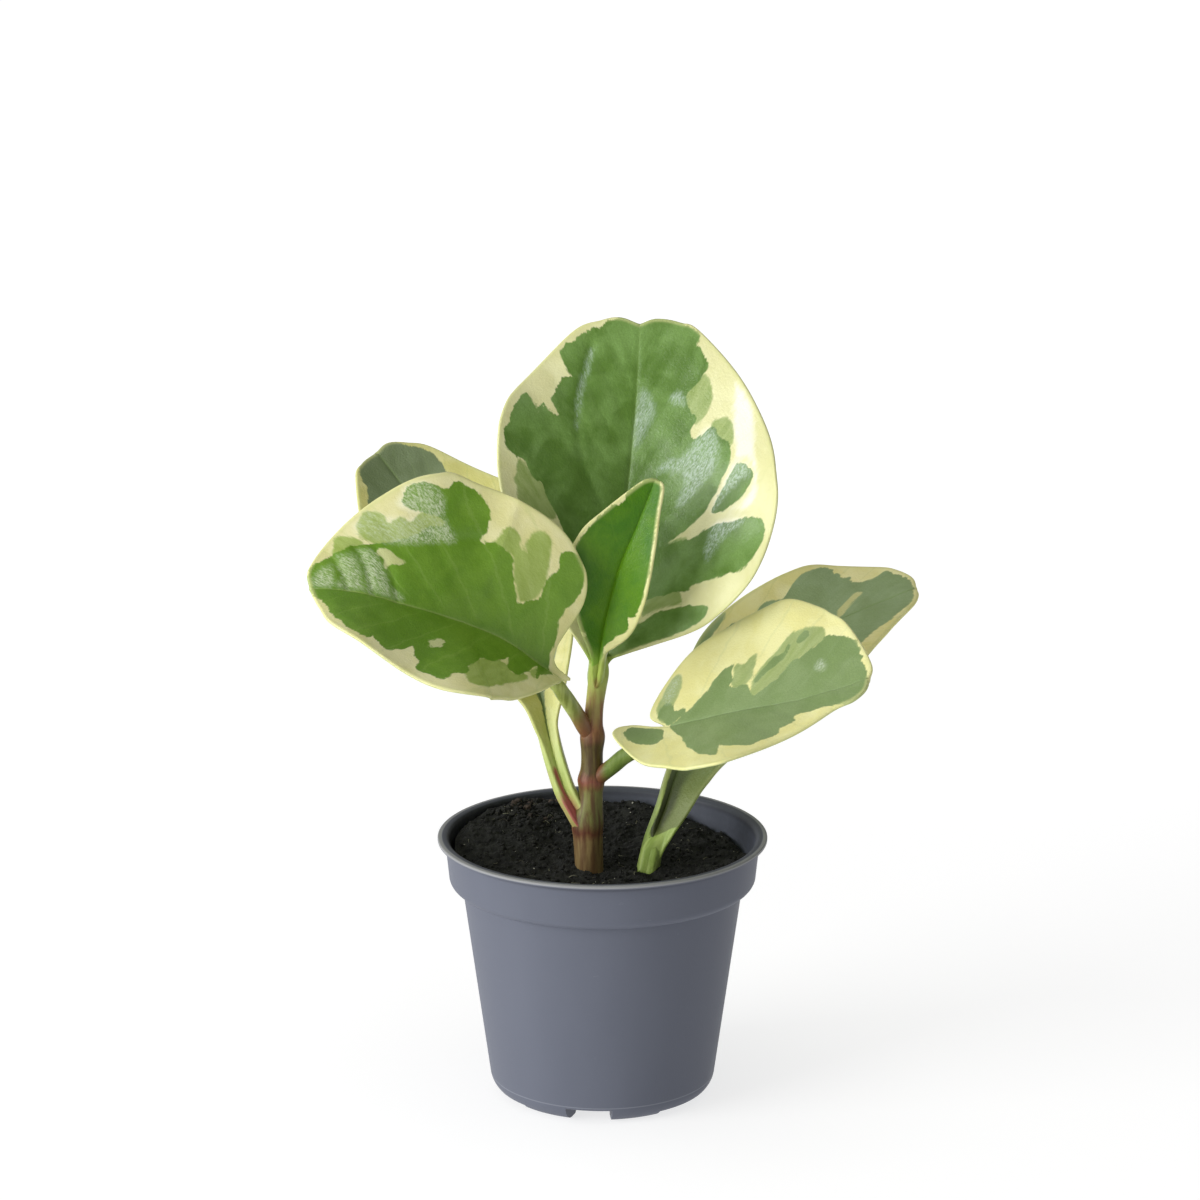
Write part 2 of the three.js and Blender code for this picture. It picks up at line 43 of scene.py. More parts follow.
CAMERA_DISTANCE = 700
CAMERA_AIM = (-0.45, 0, 92.5)
CAMERA_PITCH = math.radians(14.5)
CAMERA_LENS = 117.2
SENSOR = 36
WORLD_LEFT = 0.7
WORLD_RIGHT = 0.12
# Name, place in metres, size and power of each square lamp, and the point they face.
LAMPS = [("window", (-1.02, -0.56, 0.3), 0.75, 14.5), ("ceiling", (0.1, -0.2, 1.4), 0.8, 3)]
LAMP_AIM = (0, 0, 0.08)
# Half the side of the floor, in metres.
FLOOR_HALF = 30

# ---- Pot ----

POT_HEIGHT = 48.5
POT_WALL = 0.8
LIP_RADIUS = 30
LIP_WIDTH = 1.3
LIP_EDGE = 0.7
LIP_SOFT = 0.25
LIP_ROUNDING = 0.85
LIP_INSIDE_DEPTH = 1.4
COLLAR_TOP_RADIUS = 28.65
COLLAR_LOW_RADIUS = 27.95
COLLAR_BOTTOM = 39.5
COLLAR_BEND = 1.6
BODY_TOP_RADIUS = 25.6
BODY_SLOPE = 0.137
BASE_HEIGHT = 2.8
BASE_THICKNESS = 0.8
RING_INNER = 14.8
RING_CORNER = 3.9
RING_CORNER_STEPS = 12
# Points of the section that lie on the underside: five up to the ring's foot, then its corner.
UNDERSIDE_POINTS = 5 + RING_CORNER_STEPS + 1
FLOOR_CORNER = 1.5
FOOT_HEIGHT = 1.2
FOOT_ANGLE = 27
SLOT_COUNT = 3
SLOT_ANGLE = 24
FIRST_SLOT = -97
DRAIN_COUNT = 6
DRAIN_RADIUS = 2.1
DRAIN_RING = 9.5
CREASE_HEIGHT = 3.3
# From where to where each tone comes in: the painted shade inside the lip, the painted highlight on its
# top, the painted shadow under it, and the dusty, painted-shade darkening inside the collar.
LIP_INSIDE_SHADE_RADII = (29.2, 29)
LIP_INSIDE_SHADE_HEIGHTS = (47.6, 48)
LIP_HIGHLIGHT_RADII = (29.1, 29.35)
LIP_HIGHLIGHT_HEIGHTS = (48, 48.2)
UNDER_LIP_SHADOW_FROM = (46.8, 47.6)
UNDER_LIP_SHADOW_TO = (47.95, 47.8)
DUST_AND_SHADE_HEIGHTS = (40, 41)
DUST_AND_SHADE_ACROSS = (-18, 0)

# ---- Soil ----

SOIL_LEVEL = 43.85
SOIL_TILT = (-0.045, 0.045)
SOIL_RADIUS = 26.9
SOIL_RINGS = 110
SOIL_SIDES = 300
# Across, back, height and spread of each heap of peat against the wall.
SOIL_HEAPS = [(-14, 18, 2.2, 9), (4, 22, 1.6, 8), (-23, 4, 1.8, 7)]
# Fineness and height of the clods and of the grains.
CLODS = (0.22, 0.8)
GRAINS = (1.1, 0.35)
# Across and back of the stem and the stalk that stand in the soil, and how wide it is kept clear.
STANDING = [(-2.4, -5, 3), (8.6, -3, 3)]
HEAP_SPREAD = 4.5
BIT_WALL_GAP = 0.6
HEAP_WALL_GAP = 0.7
FIBRE_WALL_GAP = 2.5
# How much the sides of a lump differ, and how deep its dents are.
LUMP_SIDES = (0.6, 1.1)
LUMP_DENTS = (0.75, 1.15)
LUMP_SHARP = 35
FIBRE_SEED = 31
FIBRE_COUNT = 90
FIBRE_LENGTHS = (0.5, 1.8)
FIBRE_RADII = (0.04, 0.08)

# ---- Stem ----

# Centre of the stem and the radius there. The thick places are its joints.
STEM = [
    (-2.3, -5, 31, 2.4),
    (-2.4, -5, 42.3, 2.55),
    (-2.6, -5, 49, 2.65),
    (-2.7, -5, 52.4, 2.9),
    (-2.3, -5, 55.6, 2.35),
    (-2.1, -5, 58.4, 2.2),
    (-2.0, -5, 60.4, 2.45),
    (-1.9, -5, 62.6, 2.05),
    (-1.9, -5, 65.6, 1.95),
    (-1.8, -5, 68.6, 2.25),
    (-1.7, -5, 71, 1.8),
    (-1.4, -5, 74.4, 1.65),
    (-0.9, -5, 78, 1.75),
    (-0.7, -5, 79.8, 1.85),
    (-0.6, -4.9, 81.4, 1.75),
    (-0.3, -4.7, 84, 1.0),
]
STEM_RINGS = 190
STEM_SIDES = 56
STEM_SWELL = 0.08
# Where the stem stands at its joints, and how near it a stalk is fully red.
STEM_AXIS = (-1.9, -5)
STEM_TOUCH = 2.5
# Height, then colour, of its lighter and its darker streaks.
STEM_SPAN = (42, 84)
STEM_LIGHT = [
    (42, 140, 118, 78), (49, 134, 114, 72), (51, 112, 72, 48), (53, 112, 112, 58),
    (58.5, 118, 118, 62), (60.4, 134, 82, 62), (62.5, 98, 86, 42), (67, 92, 80, 38),
    (69.8, 130, 92, 58), (71.4, 136, 112, 66), (75, 158, 148, 84), (77.6, 164, 172, 88),
    (82, 162, 186, 90),
]
STEM_DARK = [
    (42, 104, 78, 48), (49, 98, 72, 46), (51, 78, 40, 28), (53, 88, 66, 38), (58.5, 92, 70, 40),
    (60.4, 98, 48, 36), (62.5, 68, 50, 26), (67, 64, 46, 22), (69.8, 102, 60, 40),
    (71.4, 112, 62, 44), (75, 134, 96, 58), (78.6, 152, 164, 80),
]

# ---- Leaves ----

# The spine runs up the midrib from the foot to the tip. A leaf has its own coordinates in
# millimetres: u is the distance up the spine, v the distance out from it, to the left if positive.
#   name, slot, seed: its node, its slot of material, and a number that sets its noise apart
#   looks, shine, coat, veins: its own colours, its gloss, and how much its side veins show
#   facing: share of the length, then the way the upper face looks there
#   trough: share, then for the left and the right half how steeply it leaves the midrib, and how
#           much further it curls in each CURL_SPAN of width, in degrees
#   left, right: outline of each half as (u, |v|), from the foot to the tip, which the spine gives
#   foot: more of the outline, for both halves, that runs on into the stem or the soil
#   petiole: places and radii of a separate round stalk that carries the blade from below
#   keel: how far the midrib stands out below at the foot
#   fill: between these two u the hollow of a channelled stalk fills up to a round one
#   ear_lift: how fast the part below the foot turns up
#   rib: how much the colour of the midrib shows
#   furrow, quilt, waves: depth of the furrow on the midrib, and heights of the swelling between
#           the side veins and of the shallow swellings all over the blade
#   vein_slope: how steeply the side veins climb on their way out
#   stalk_end: how far up the blade the colour of the stalk reaches
#   blush_reach: how far from the stem the round stalk is red
#   red_lines: red lines, each with its width
#   creases: folds in the blade as depth, width and line
#   green, sage, pale: patches of colour as closed outlines of (u, v), on a cream ground
#   light: patches of painted highlight, painted lighter where the window shines on the upper face
PATCHES = ("green", "sage", "pale", "light")
NO_PATCH = -9.0
CURL_SPAN = 20
BLADE_CENTRE = 1.1
BLADE_EDGE = 0.65
WAVE_HEIGHT = 0.5
WAVE_LENGTH = 19
KEEL_HALF_WIDTH = 2.3
KEEL_REACH = 0.8
FURROW_HALF_WIDTH = 0.45
FILL_HEIGHT = 2.3
FILL_HALF_WIDTH = 2.6
# The relief fades out this near the midrib and the margin.
RELIEF_FROM_RIB = 3
RELIEF_FROM_RIM = 4
WAVES_FROM_RIM = 3
LEAF_ROWS = 130
LEAF_COLUMNS = 44
MARGIN_COLUMNS = [0.986, 0.992, 0.9965, 0.999, 1]
PETIOLE_RINGS = 110
PETIOLE_SIDES = 32
MARGIN_ROUNDING = 0.33
EDGE_INSET = 0.12
VEIN_SPACING = 6.4
VEIN_SHIFT = 0.35

# Colours are given as screen values. Each leaf has its own in place of some of these.
# The colour named light, and the lightest cream, are painted highlights where the window shines on the
# upper face.
LOOKS = {
    "cream": (226, 222, 170), "cream_warm": (214, 210, 146), "sage": (156, 172, 106),
    "sage_deep": (134, 154, 82), "green": (84, 118, 38), "green_deep": (64, 98, 22),
    "green_light": (100, 136, 54), "light": (146, 166, 104), "cream_light": (236, 234, 200),
    "channel": (104, 128, 56), "rib": (132, 160, 84), "stalk": (162, 184, 88),
    "stalk_deep": (136, 162, 62), "red": (128, 52, 46), "blush": (176, 96, 96),
    "under": (162, 176, 118), "edge": (204, 206, 140),
}
TOP_LOOKS = {
    "cream": (216, 215, 164), "cream_warm": (208, 206, 150), "cream_light": (238, 236, 216),
    "light": (172, 190, 172), "green_light": (114, 148, 74),
}
YOUNG_LOOKS = {
    "green": (62, 112, 2), "green_deep": (46, 94, 1), "green_light": (86, 130, 10),
    "channel": (126, 164, 56), "stalk": (166, 184, 88), "stalk_deep": (148, 168, 74),
    "red": (128, 104, 56), "blush": (152, 146, 80), "rib": (112, 154, 44),
}
FRONT_LOOKS = {
    "green": (98, 138, 30), "green_deep": (80, 120, 18), "green_light": (114, 152, 44),
    "light": (202, 212, 178), "rib": (158, 180, 98), "sage": (164, 182, 100),
    "sage_deep": (146, 166, 78), "stalk": (168, 180, 102), "stalk_deep": (130, 142, 68),
    "red": (108, 66, 46), "blush": (134, 98, 64),
}
GREY_LOOKS = {
    "cream": (229, 226, 165), "cream_warm": (222, 217, 146), "green": (122, 144, 90),
    "green_deep": (106, 132, 70), "green_light": (134, 154, 104), "sage": (162, 176, 118),
    "sage_deep": (148, 164, 100), "light": (196, 208, 184), "rib": (146, 168, 122),
    "stalk": (108, 126, 62), "stalk_deep": (92, 112, 48), "red": (96, 56, 40),
    "blush": (120, 84, 56),
}
BACK_LOOKS = {
    "cream": (214, 210, 144), "cream_warm": (200, 196, 116), "green": (110, 126, 84),
    "green_deep": (92, 110, 66), "green_light": (124, 140, 100), "channel": (112, 130, 46),
    "stalk": (180, 192, 114), "stalk_deep": (160, 178, 92), "red": (134, 58, 54),
    "blush": (184, 102, 100),
}
# Here the channel, the face of the stalk, is painted dark as painted shade.
FOOT_LOOKS = {
    **BACK_LOOKS, "cream": (238, 232, 172), "cream_warm": (228, 220, 146), "green": (142, 162, 112),
    "green_deep": (124, 146, 92), "green_light": (154, 174, 128), "channel": (60, 68, 32),
    "light": (112, 124, 68), "stalk": (164, 184, 102), "stalk_deep": (142, 166, 80),
}

LEAF_TOP = {
    "name": "leaf_top",
    "slot": "leaf",
    "seed": 1,
    "looks": TOP_LOOKS,
    "shine": 0.36,
    "coat": 0.12,
    "veins": 0.04,
    "spine": [
        (-1, -3.6, 80.5), (0.3, -3, 87.8), (1.7, -2, 94.9), (3.1, -0.5, 102.8), (4.6, 2.5, 114),
        (6, 7, 127.6), (6.7, 12.5, 140.5),
    ],
    "facing": [(0, 0, -1, 0.25), (0.3, 0, -1, 0.3), (1, -0.12, -1, 0.3)],
    "trough": [(0, 25, 20, 25, 20), (0.2, 18, 12, 18, 20), (0.6, 12, 12, 8, 24), (1, 2, 8, 2, 12)],
    "left": [
        (0, 1.6), (2.4, 2.6), (11.2, 11.2), (17.7, 17), (24.5, 21.6), (31.4, 24.2), (38.6, 25),
        (44.2, 24.2), (49.7, 21.5), (60.8, 12.4), (63.4, 7.1), (64.1, 3.6),
    ],
    "right": [
        (0, 1.6), (2.5, 2.6), (4, 4.9), (11.9, 18.8), (17.8, 25), (23, 29), (30.2, 30.6), (36.3, 29.9),
        (44.4, 26.4), (60.8, 12), (63.3, 7.5), (64, 3),
    ],
    "foot": [(-5, 0.4), (-3, 1), (-1.4, 1.5)],
    "keel": 1.3,
    "rib": 0.12,
    "quilt": 0.13,
    "waves": 0.16,
    "stalk_end": 7,
    "creases": [
        (0.5, 0.8, [(30, 4.6), (35, 7.8), (39, 9.4), (43, 10.2), (48, 10.4), (53, 9.6), (58, 8.6)]),
    ],
    "green": [[
        (3, 0.8), (6, 2.6), (12, 6.5), (18, 10), (23.4, 10.9), (28, 13.7), (30.5, 15.2), (32, 16),
        (32.4, 17.2), (33.4, 18.3), (34.8, 19), (35.9, 20), (36, 20.9), (36.4, 21.8), (37.4, 23),
        (38.8, 23.8), (40.4, 23.8), (41.7, 23.1), (43, 22.8), (45, 22.3), (46.6, 21.5), (47.7, 20.8),
        (48.4, 20), (47.8, 19.4), (46.5, 18.6), (45.2, 17.9), (44.3, 17.4), (45.6, 17.3), (46.7, 16.9),
        (46.2, 16.6), (45.3, 15.8), (44.7, 14.8), (44.5, 13.9), (45.3, 14.4), (46.5, 14.9), (47.6, 15.5),
        (48.7, 14.8), (50, 14.6), (50.8, 13.9), (52, 13.6), (52.5, 12.6), (52.4, 11.8), (53.5, 12.7),
        (55, 13.4), (56.5, 14.1), (57.5, 13.9), (58.5, 13.2), (59, 12), (59.5, 11.2), (60.2, 11),
        (60.6, 10), (61.3, 9.7), (61.2, 8.9), (61.9, 8.5), (62, 7.6), (61.7, 6.9), (62.6, 6.4),
        (63.2, 5.6), (63.4, 4.5), (64.1, 3.9), (66, 3.5), (66, -3.5), (64.2, -5.2), (63.4, -7),
        (62.6, -8.6), (62, -10), (60.9, -11.2), (59.6, -11.2), (58.8, -10.8), (57.6, -11.8), (56, -12.6),
        (54.6, -12.9), (53.4, -12), (52.4, -11.6), (51, -10.4), (50.2, -9.6), (48.4, -9.6), (47.4, -10.6),
        (46, -11.8), (44.8, -11.2), (43.4, -10.8), (42.6, -11.6), (43.6, -13), (44.8, -14.6),
        (44.6, -15.6), (43.2, -16.6), (42.4, -18.2), (41, -19.2), (39.4, -19.3), (37.8, -18.8), (36, -18),
        (34, -17.2), (31.6, -15.9), (30, -15), (28.6, -13.6), (26.9, -12), (25.2, -10.2), (24.1, -8.8),
        (22, -7.6), (18, -5.5), (12, -3), (6, -1),
    ], [
        (30.6, -16.6), (33, -17.6), (36, -19), (38, -20.1), (39, -21.2), (38.8, -22.6), (38, -23.7),
        (37.2, -24.4), (36, -24.2), (34.8, -23.6), (33, -22.3), (32, -21), (31.2, -19.8), (30.3, -18.4),
    ], [
        (21.8, -7.4), (23.4, -8.2), (24.5, -10), (25.3, -12), (26, -14), (27.3, -15.6), (28.2, -17.5),
        (29, -19.5), (29.3, -21.6), (30.2, -24), (30.5, -26.4), (30, -28), (28.5, -28.8), (26.5, -28.5),
        (24.5, -27.5), (22.8, -26), (21.8, -24.5), (21, -22), (20, -19.5), (19, -16.4), (18.2, -15),
        (17.5, -14.8), (17, -13), (16.2, -11), (15.3, -9), (14, -6), (12, -2), (18, -3),
    ], [
        (3, -1.5), (4, -4), (5.5, -6.5), (7, -9), (8.5, -11.5), (9.8, -13.8), (11, -15.8), (12.5, -17.7),
        (13.8, -19.4), (15.4, -20), (15.9, -19.4), (15.5, -17), (14.3, -13.5), (13.3, -10.5), (12, -8.5),
        (10.5, -7), (6, -1.5),
    ]],
    "sage": [[
        (53.6, -12.4), (52.6, -13.6), (50.6, -14.2), (48.8, -14.3), (47, -13.6), (45.6, -12.6),
        (44.6, -11.4), (46, -10.6), (48.4, -9.2), (50.4, -9.2), (52.6, -11.2),
    ], [
        (44.6, -14.6), (46, -15.2), (46.4, -17), (45.8, -18.5), (44, -19.2), (42, -19.3), (42, -17.6),
        (43.2, -16.2),
    ], [
        (36, 20.6), (34.5, 20.9), (33, 21), (32, 21.6), (31, 21), (30, 20.6), (28, 19.8), (26.5, 17.5),
        (25.6, 13), (28, 12.8), (31.4, 15), (33.6, 17.8),
    ], [
        (17.4, -12.6), (17, -10), (15.6, -7.6), (13, -6.4), (11.4, -6.8), (13, -9.4), (14.2, -12),
        (15, -14), (16.2, -13.8),
    ], [
        (23.4, -8), (25, -9.8), (25.9, -12.4), (25, -12.4), (24, -10.4),
    ]],
    "light": [[
        (57.5, 8.3), (54, 8.8), (50, 9.6), (46, 9.9), (43, 10), (43, 10.4), (46, 10.7), (50, 10.6),
        (54, 9.6), (57.5, 8.7),
    ], [
        (51, -1), (49.6, -3), (46.6, -3.8), (44, -2.6), (41.4, -1.6), (40, -0.8), (41, -0.3), (45, -0.2),
        (48, -0.4),
    ], [
        (50.6, -7.6), (49.6, -9.2), (48.2, -8.8), (48.6, -7), (49.6, -6.4),
    ], [
        (44.8, -14.2), (44, -15.6), (42, -16.6), (39.5, -16.8), (37, -15.8), (34.8, -14.2), (32.5, -12.4),
        (30.8, -10.4), (31.4, -9.4), (33.4, -10), (35.2, -10.4), (36.6, -9.6), (36.4, -7), (36.6, -5.2),
        (38.4, -6.4), (39.2, -8.8), (40.6, -10.4), (42.4, -11.8), (44, -13),
    ], [
        (39, -20.4), (38.8, -22.8), (37.4, -23.4), (36, -22), (34.6, -20.4), (33, -18.8), (31.2, -17.4),
        (30.4, -16.6), (32, -16.8), (34.2, -17.8), (37, -19),
    ], [
        (28.6, -17.4), (29.4, -19.6), (29.8, -22), (29.8, -24), (28.6, -23), (27.6, -21), (26, -19.8),
        (24.2, -18.4), (22.6, -17.4), (23.6, -16.6), (26, -16.6),
    ], [
        (52, -18.4), (50, -18.6), (46.6, -19), (43, -19.8), (40, -20.6), (39.8, -23), (38, -24.8),
        (35, -24.6), (32.6, -22.6), (31, -20), (31.4, -23), (32.6, -25), (35, -25.6), (39, -24.8),
        (43, -24), (46, -23.2), (49, -21.6), (51, -19.8),
    ]],
}

LEAF_YOUNG = {
    "name": "leaf_young",
    "slot": "young_leaf",
    "seed": 2,
    "looks": YOUNG_LOOKS,
    "shine": 0.25,
    "coat": 0,
    "spine": [
        (-0.8, -7, 81), (-0.1, -7.9, 87.1), (0.8, -9, 92), (2.9, -10.5, 100.7), (6.2, -11, 108.9),
        (9.5, -10, 117.2),
    ],
    "facing": [(0, -0.25, -1, 0.1), (1, -0.3, -1, 0.15)],
    "trough": [(0, 38, 6, 38, 4), (0.3, 33, 4, 33, 4), (1, 26, 4, 26, 4)],
    "left": [
        (0, 1.5), (3.3, 2), (11, 5.9), (17.4, 8.5), (20.8, 9.7), (23.5, 9.6), (27.2, 8.4), (35.7, 3.2),
        (37.7, 1.4),
    ],
    "right": [
        (0, 1.3), (4, 1.6), (6.8, 4), (11.4, 7.2), (16.8, 8.6), (22.7, 8), (31.8, 4.2), (37.4, 2.4),
    ],
    "foot": [(-3, 0.5), (-1.6, 1.1)],
    "keel": 0.5,
    "rib": 0.25,
    "quilt": 0.04,
    "waves": 0.08,
    "stalk_end": 6,
    "red_lines": [
        ([(-5, 0), (-1.8, 0)], 1),
    ],
    "green": [[
        (1, 2.4), (3.4, 2.6), (7, 4.4), (10, 5.6), (12, 6), (14, 6.9), (17.4, 8.1), (20.8, 9.2),
        (23.5, 9), (27.2, 7.8), (30.4, 6.1), (31.6, 5.3), (31.5, 4.6), (32.6, 4.2), (34, 4.2),
        (34.9, 3.5), (36.7, 2.2), (38.2, 0.6), (38, -1.2), (36.6, -2.3), (34, -3), (31.8, -3.8),
        (27, -5.8), (22.7, -7.5), (18, -8), (15.4, -7.6), (14.2, -6.6), (13.8, -5.8), (12, -6.4),
        (11, -5.8), (9.6, -4.4), (8.2, -3.4), (6.8, -2.2), (5.4, -1.4), (3, -1),
    ]],
    "pale": [[(7, 3.4), (7.6, 4.8), (8.2, 4.6), (7.8, 3.5)]],
}

LEAF_LEFT_FRONT = {
    "name": "leaf_left_front",
    "slot": "leaf",
    "seed": 3,
    "looks": FRONT_LOOKS,
    "veins": 0.14,
    "spine": [
        (-7.6, -16.5, 82.1), (-16.6, -20.5, 89.9), (-23, -23, 93.6), (-29.4, -25.5, 96.5),
        (-41.6, -28.5, 100.9), (-50.4, -29.5, 101.9),
    ],
    "facing": [(0, 0.2, -0.71, 0.71), (0.3, 0, -0.71, 0.71), (1, -0.25, -0.71, 0.71)],
    "trough": [(0, 44, 0, 38, 0), (0.3, 30, 0, 30, 2), (1, 22, 2, 16, 6)],
    "left": [
        (0, 0.9), (1.4, 3), (7.6, 11.5), (15, 18.3), (20.7, 22.2), (26, 23.3), (32.4, 20.1), (45.1, 10.8),
        (48.4, 4.8),
    ],
    "right": [
        (-0.8, 0.5), (-1.8, 1.5), (2.4, 2), (4.4, 4.8), (5.1, 13), (7.3, 17.6), (10.3, 20), (15.5, 22.6),
        (29, 24.9), (34.2, 23.4), (39.1, 19.6), (45.4, 11), (50.3, 4),
    ],
    "petiole": [
        (-1.9, -4.9, 67.6, 1.1), (-3.3, -6.2, 70.6, 1.4), (-4.5, -7.7, 73.3, 1.4),
        (-5.8, -10.8, 76.3, 1.4), (-7, -13.8, 79, 1.35), (-8.9, -16.7, 82.2, 1.2),
        (-16.7, -20.2, 89.1, 0.8), (-23.1, -22.8, 93.1, 0.6),
    ],
    "keel": 0.3,
    "rib": 0.6,
    "furrow": 0.08,
    "quilt": 0.14,
    "vein_slope": 0.4,
    "blush_reach": 8,
    "creases": [
        (0.4, 0.9, [(42, -8.6), (38, -9.8), (34, -11.4), (28, -13.6), (23, -15)]),
        (0.4, 0.6, [(43.4, -0.6), (44.6, -3.4), (46.4, -6)]),
        (0.4, 0.6, [(39, -0.6), (40.8, -4.4), (43, -8)]),
        (0.4, 0.6, [(34.6, -0.6), (37, -5), (40.6, -8.8)]),
    ],
    "green": [[
        (50.6, -1), (50.3, 0), (49.3, 1.8), (48, 3.4), (47, 4.8), (46.6, 6.4), (45, 8.6), (43.6, 10.4),
        (42, 11.6), (40.6, 12.2), (39.8, 12), (39.4, 11.4), (39, 12.4), (37.6, 13.6), (36.6, 14.2),
        (35.4, 13.5), (34, 13.3), (33.2, 12.4), (32.5, 11), (32.2, 12.6), (32.4, 14.4), (31.4, 14.8),
        (32, 16.8), (32, 17.9), (31, 18.6), (30, 18.8), (28.6, 19.9), (27.6, 19.2), (26.8, 17.8),
        (25.6, 17.4), (24.8, 16.2), (24.4, 14.7), (22.4, 12.4), (20.1, 10.2), (17.5, 9.4), (15, 7),
        (13.4, 5.2), (13.8, 7), (14.2, 8.3), (13.4, 9.2), (12.4, 9.4), (11.4, 8.8), (10.4, 7.8),
        (8.8, 5.8), (8, 4.4), (6.4, 2), (7.2, 4.6), (8, 7), (7.4, 7.4), (6, 5), (4, 2.8), (2.4, 1.4),
        (2.6, 0), (3.6, -1), (5, -3), (5.3, -4.4), (5.8, -5.8), (6.6, -7.2), (7.6, -8.6), (7.4, -10),
        (7.8, -10.6), (7.2, -12), (7.1, -14), (7.6, -16.6), (8.4, -18.2), (9.4, -19.3), (10.5, -19.8),
        (11.8, -19.5), (12.6, -18.4), (12.5, -17.2), (11.9, -16), (12.4, -14.4), (12.3, -12), (12, -9.6),
        (12.9, -8.8), (14, -7.6), (14.6, -7.2), (15.4, -8.6), (16.4, -10.4), (17, -12.2), (17.7, -14),
        (19, -14.6), (20.6, -14.8), (21.6, -15.2), (22.6, -14.4), (23.4, -14.8), (23, -16.4), (23, -18.6),
        (23.3, -20), (24, -21.4), (25, -22.2), (26, -23), (27.6, -23.4), (29, -23.7), (30.4, -23.3),
        (31, -22.4), (31.6, -21.5), (33.5, -21.6), (35.5, -21.3), (37.2, -20.3), (38, -19), (38, -17),
        (36.6, -16.2), (34.6, -16.2), (32, -16.6), (30, -16.2), (30.6, -15.2), (32.4, -14.6),
        (33.6, -13.2), (35, -12), (36.4, -11), (38, -9.9), (41, -9), (43, -8.2), (44.6, -7.4), (46, -6.5),
        (47, -5.8), (48.5, -5), (50, -4),
    ]],
    "sage": [[
        (46, -6.4), (46.3, -8), (46, -9.4), (44.6, -9.8), (43, -9.6), (42, -9.2), (42, -8.4), (44, -7.2),
    ], [
        (41.4, -9.2), (42.8, -10.4), (43.1, -12), (42.9, -13.5), (42, -14.5), (41, -14.7), (39.8, -14.3),
        (39, -13.3), (38, -14.3), (37, -14.7), (36, -14.3), (35.4, -15), (35, -16), (34, -16.8),
        (32, -17), (30, -16.6), (26, -14.6), (24, -13.4), (28, -12), (33, -10.6), (38, -9.2),
    ], [
        (21.2, -15.6), (21, -17.4), (20.5, -18.4), (19.5, -18.6), (18.4, -18.2), (17.6, -17.4),
        (17.3, -16.2), (16.4, -15.6), (16.8, -16.4), (16.9, -17.8), (16.6, -19), (16, -19.9), (15, -20.1),
        (14.2, -19.5), (13.7, -18), (13.2, -16.4), (12.8, -14.4), (12.4, -12), (12.4, -9.4), (14, -7.4),
        (15.2, -8), (17, -11.4), (17.8, -13.8), (20, -14.4), (21.6, -15),
    ], [
        (24.4, 20.4), (22.4, 20), (19.4, 18), (17, 16.2), (15.3, 14.2), (13.4, 12.4), (11, 10.4),
        (9.6, 9), (9.6, 7.6), (11.4, 8.4), (13, 8.8), (14, 7.8), (16, 7.8), (18.6, 9.2), (21, 10.4),
        (24.2, 14), (25, 16.6), (25.4, 19),
    ], [
        (8.2, 7.8), (7.2, 6), (5.4, 3.6), (4.4, 1.8), (6, 2), (7.6, 4), (9, 6),
    ]],
    "pale": [[
        (39.9, -7.4), (39.6, -8.5), (38, -8.6), (36.4, -7.8), (34.8, -7.3), (35.6, -6.5), (37, -6.2),
        (37.8, -5.2), (38.4, -5.6), (38.6, -6.8),
    ], [
        (29.8, 11.2), (29.4, 9.8), (29.8, 9), (28.6, 8.6), (27.6, 7.8), (26.6, 8.6), (27.2, 9.4),
        (27.6, 10.4), (28.8, 10.6),
    ]],
    "light": [[
        (38.4, -16), (38.6, -19), (37.4, -20.8), (34.5, -21.6), (32, -20.4), (31, -18), (32, -16.4),
        (35, -15.6),
    ], [
        (49.6, -1), (48.6, -3.4), (46.6, -4.4), (45.8, -2.4), (46, -0.6), (48, -0.4),
    ], [
        (45, -0.6), (44.6, -3), (45.6, -5.6), (44, -6.6), (42.4, -5.6), (41.2, -2.4), (41.4, -0.6),
    ], [
        (40.2, -0.8), (41, -4), (42.4, -7.4), (40.6, -7.8), (38.6, -6), (36.6, -3), (36, -0.8),
    ], [
        (35.4, -0.8), (35.8, -2.4), (34.6, -2), (33.6, -1),
    ], [
        (43, -10.6), (43, -13.6), (41, -14.6), (38.6, -14.2), (36, -15), (33, -16.6), (30, -16),
        (28, -14.6), (27, -13.2), (31, -12), (35, -10.6), (39, -9.8),
    ]],
}

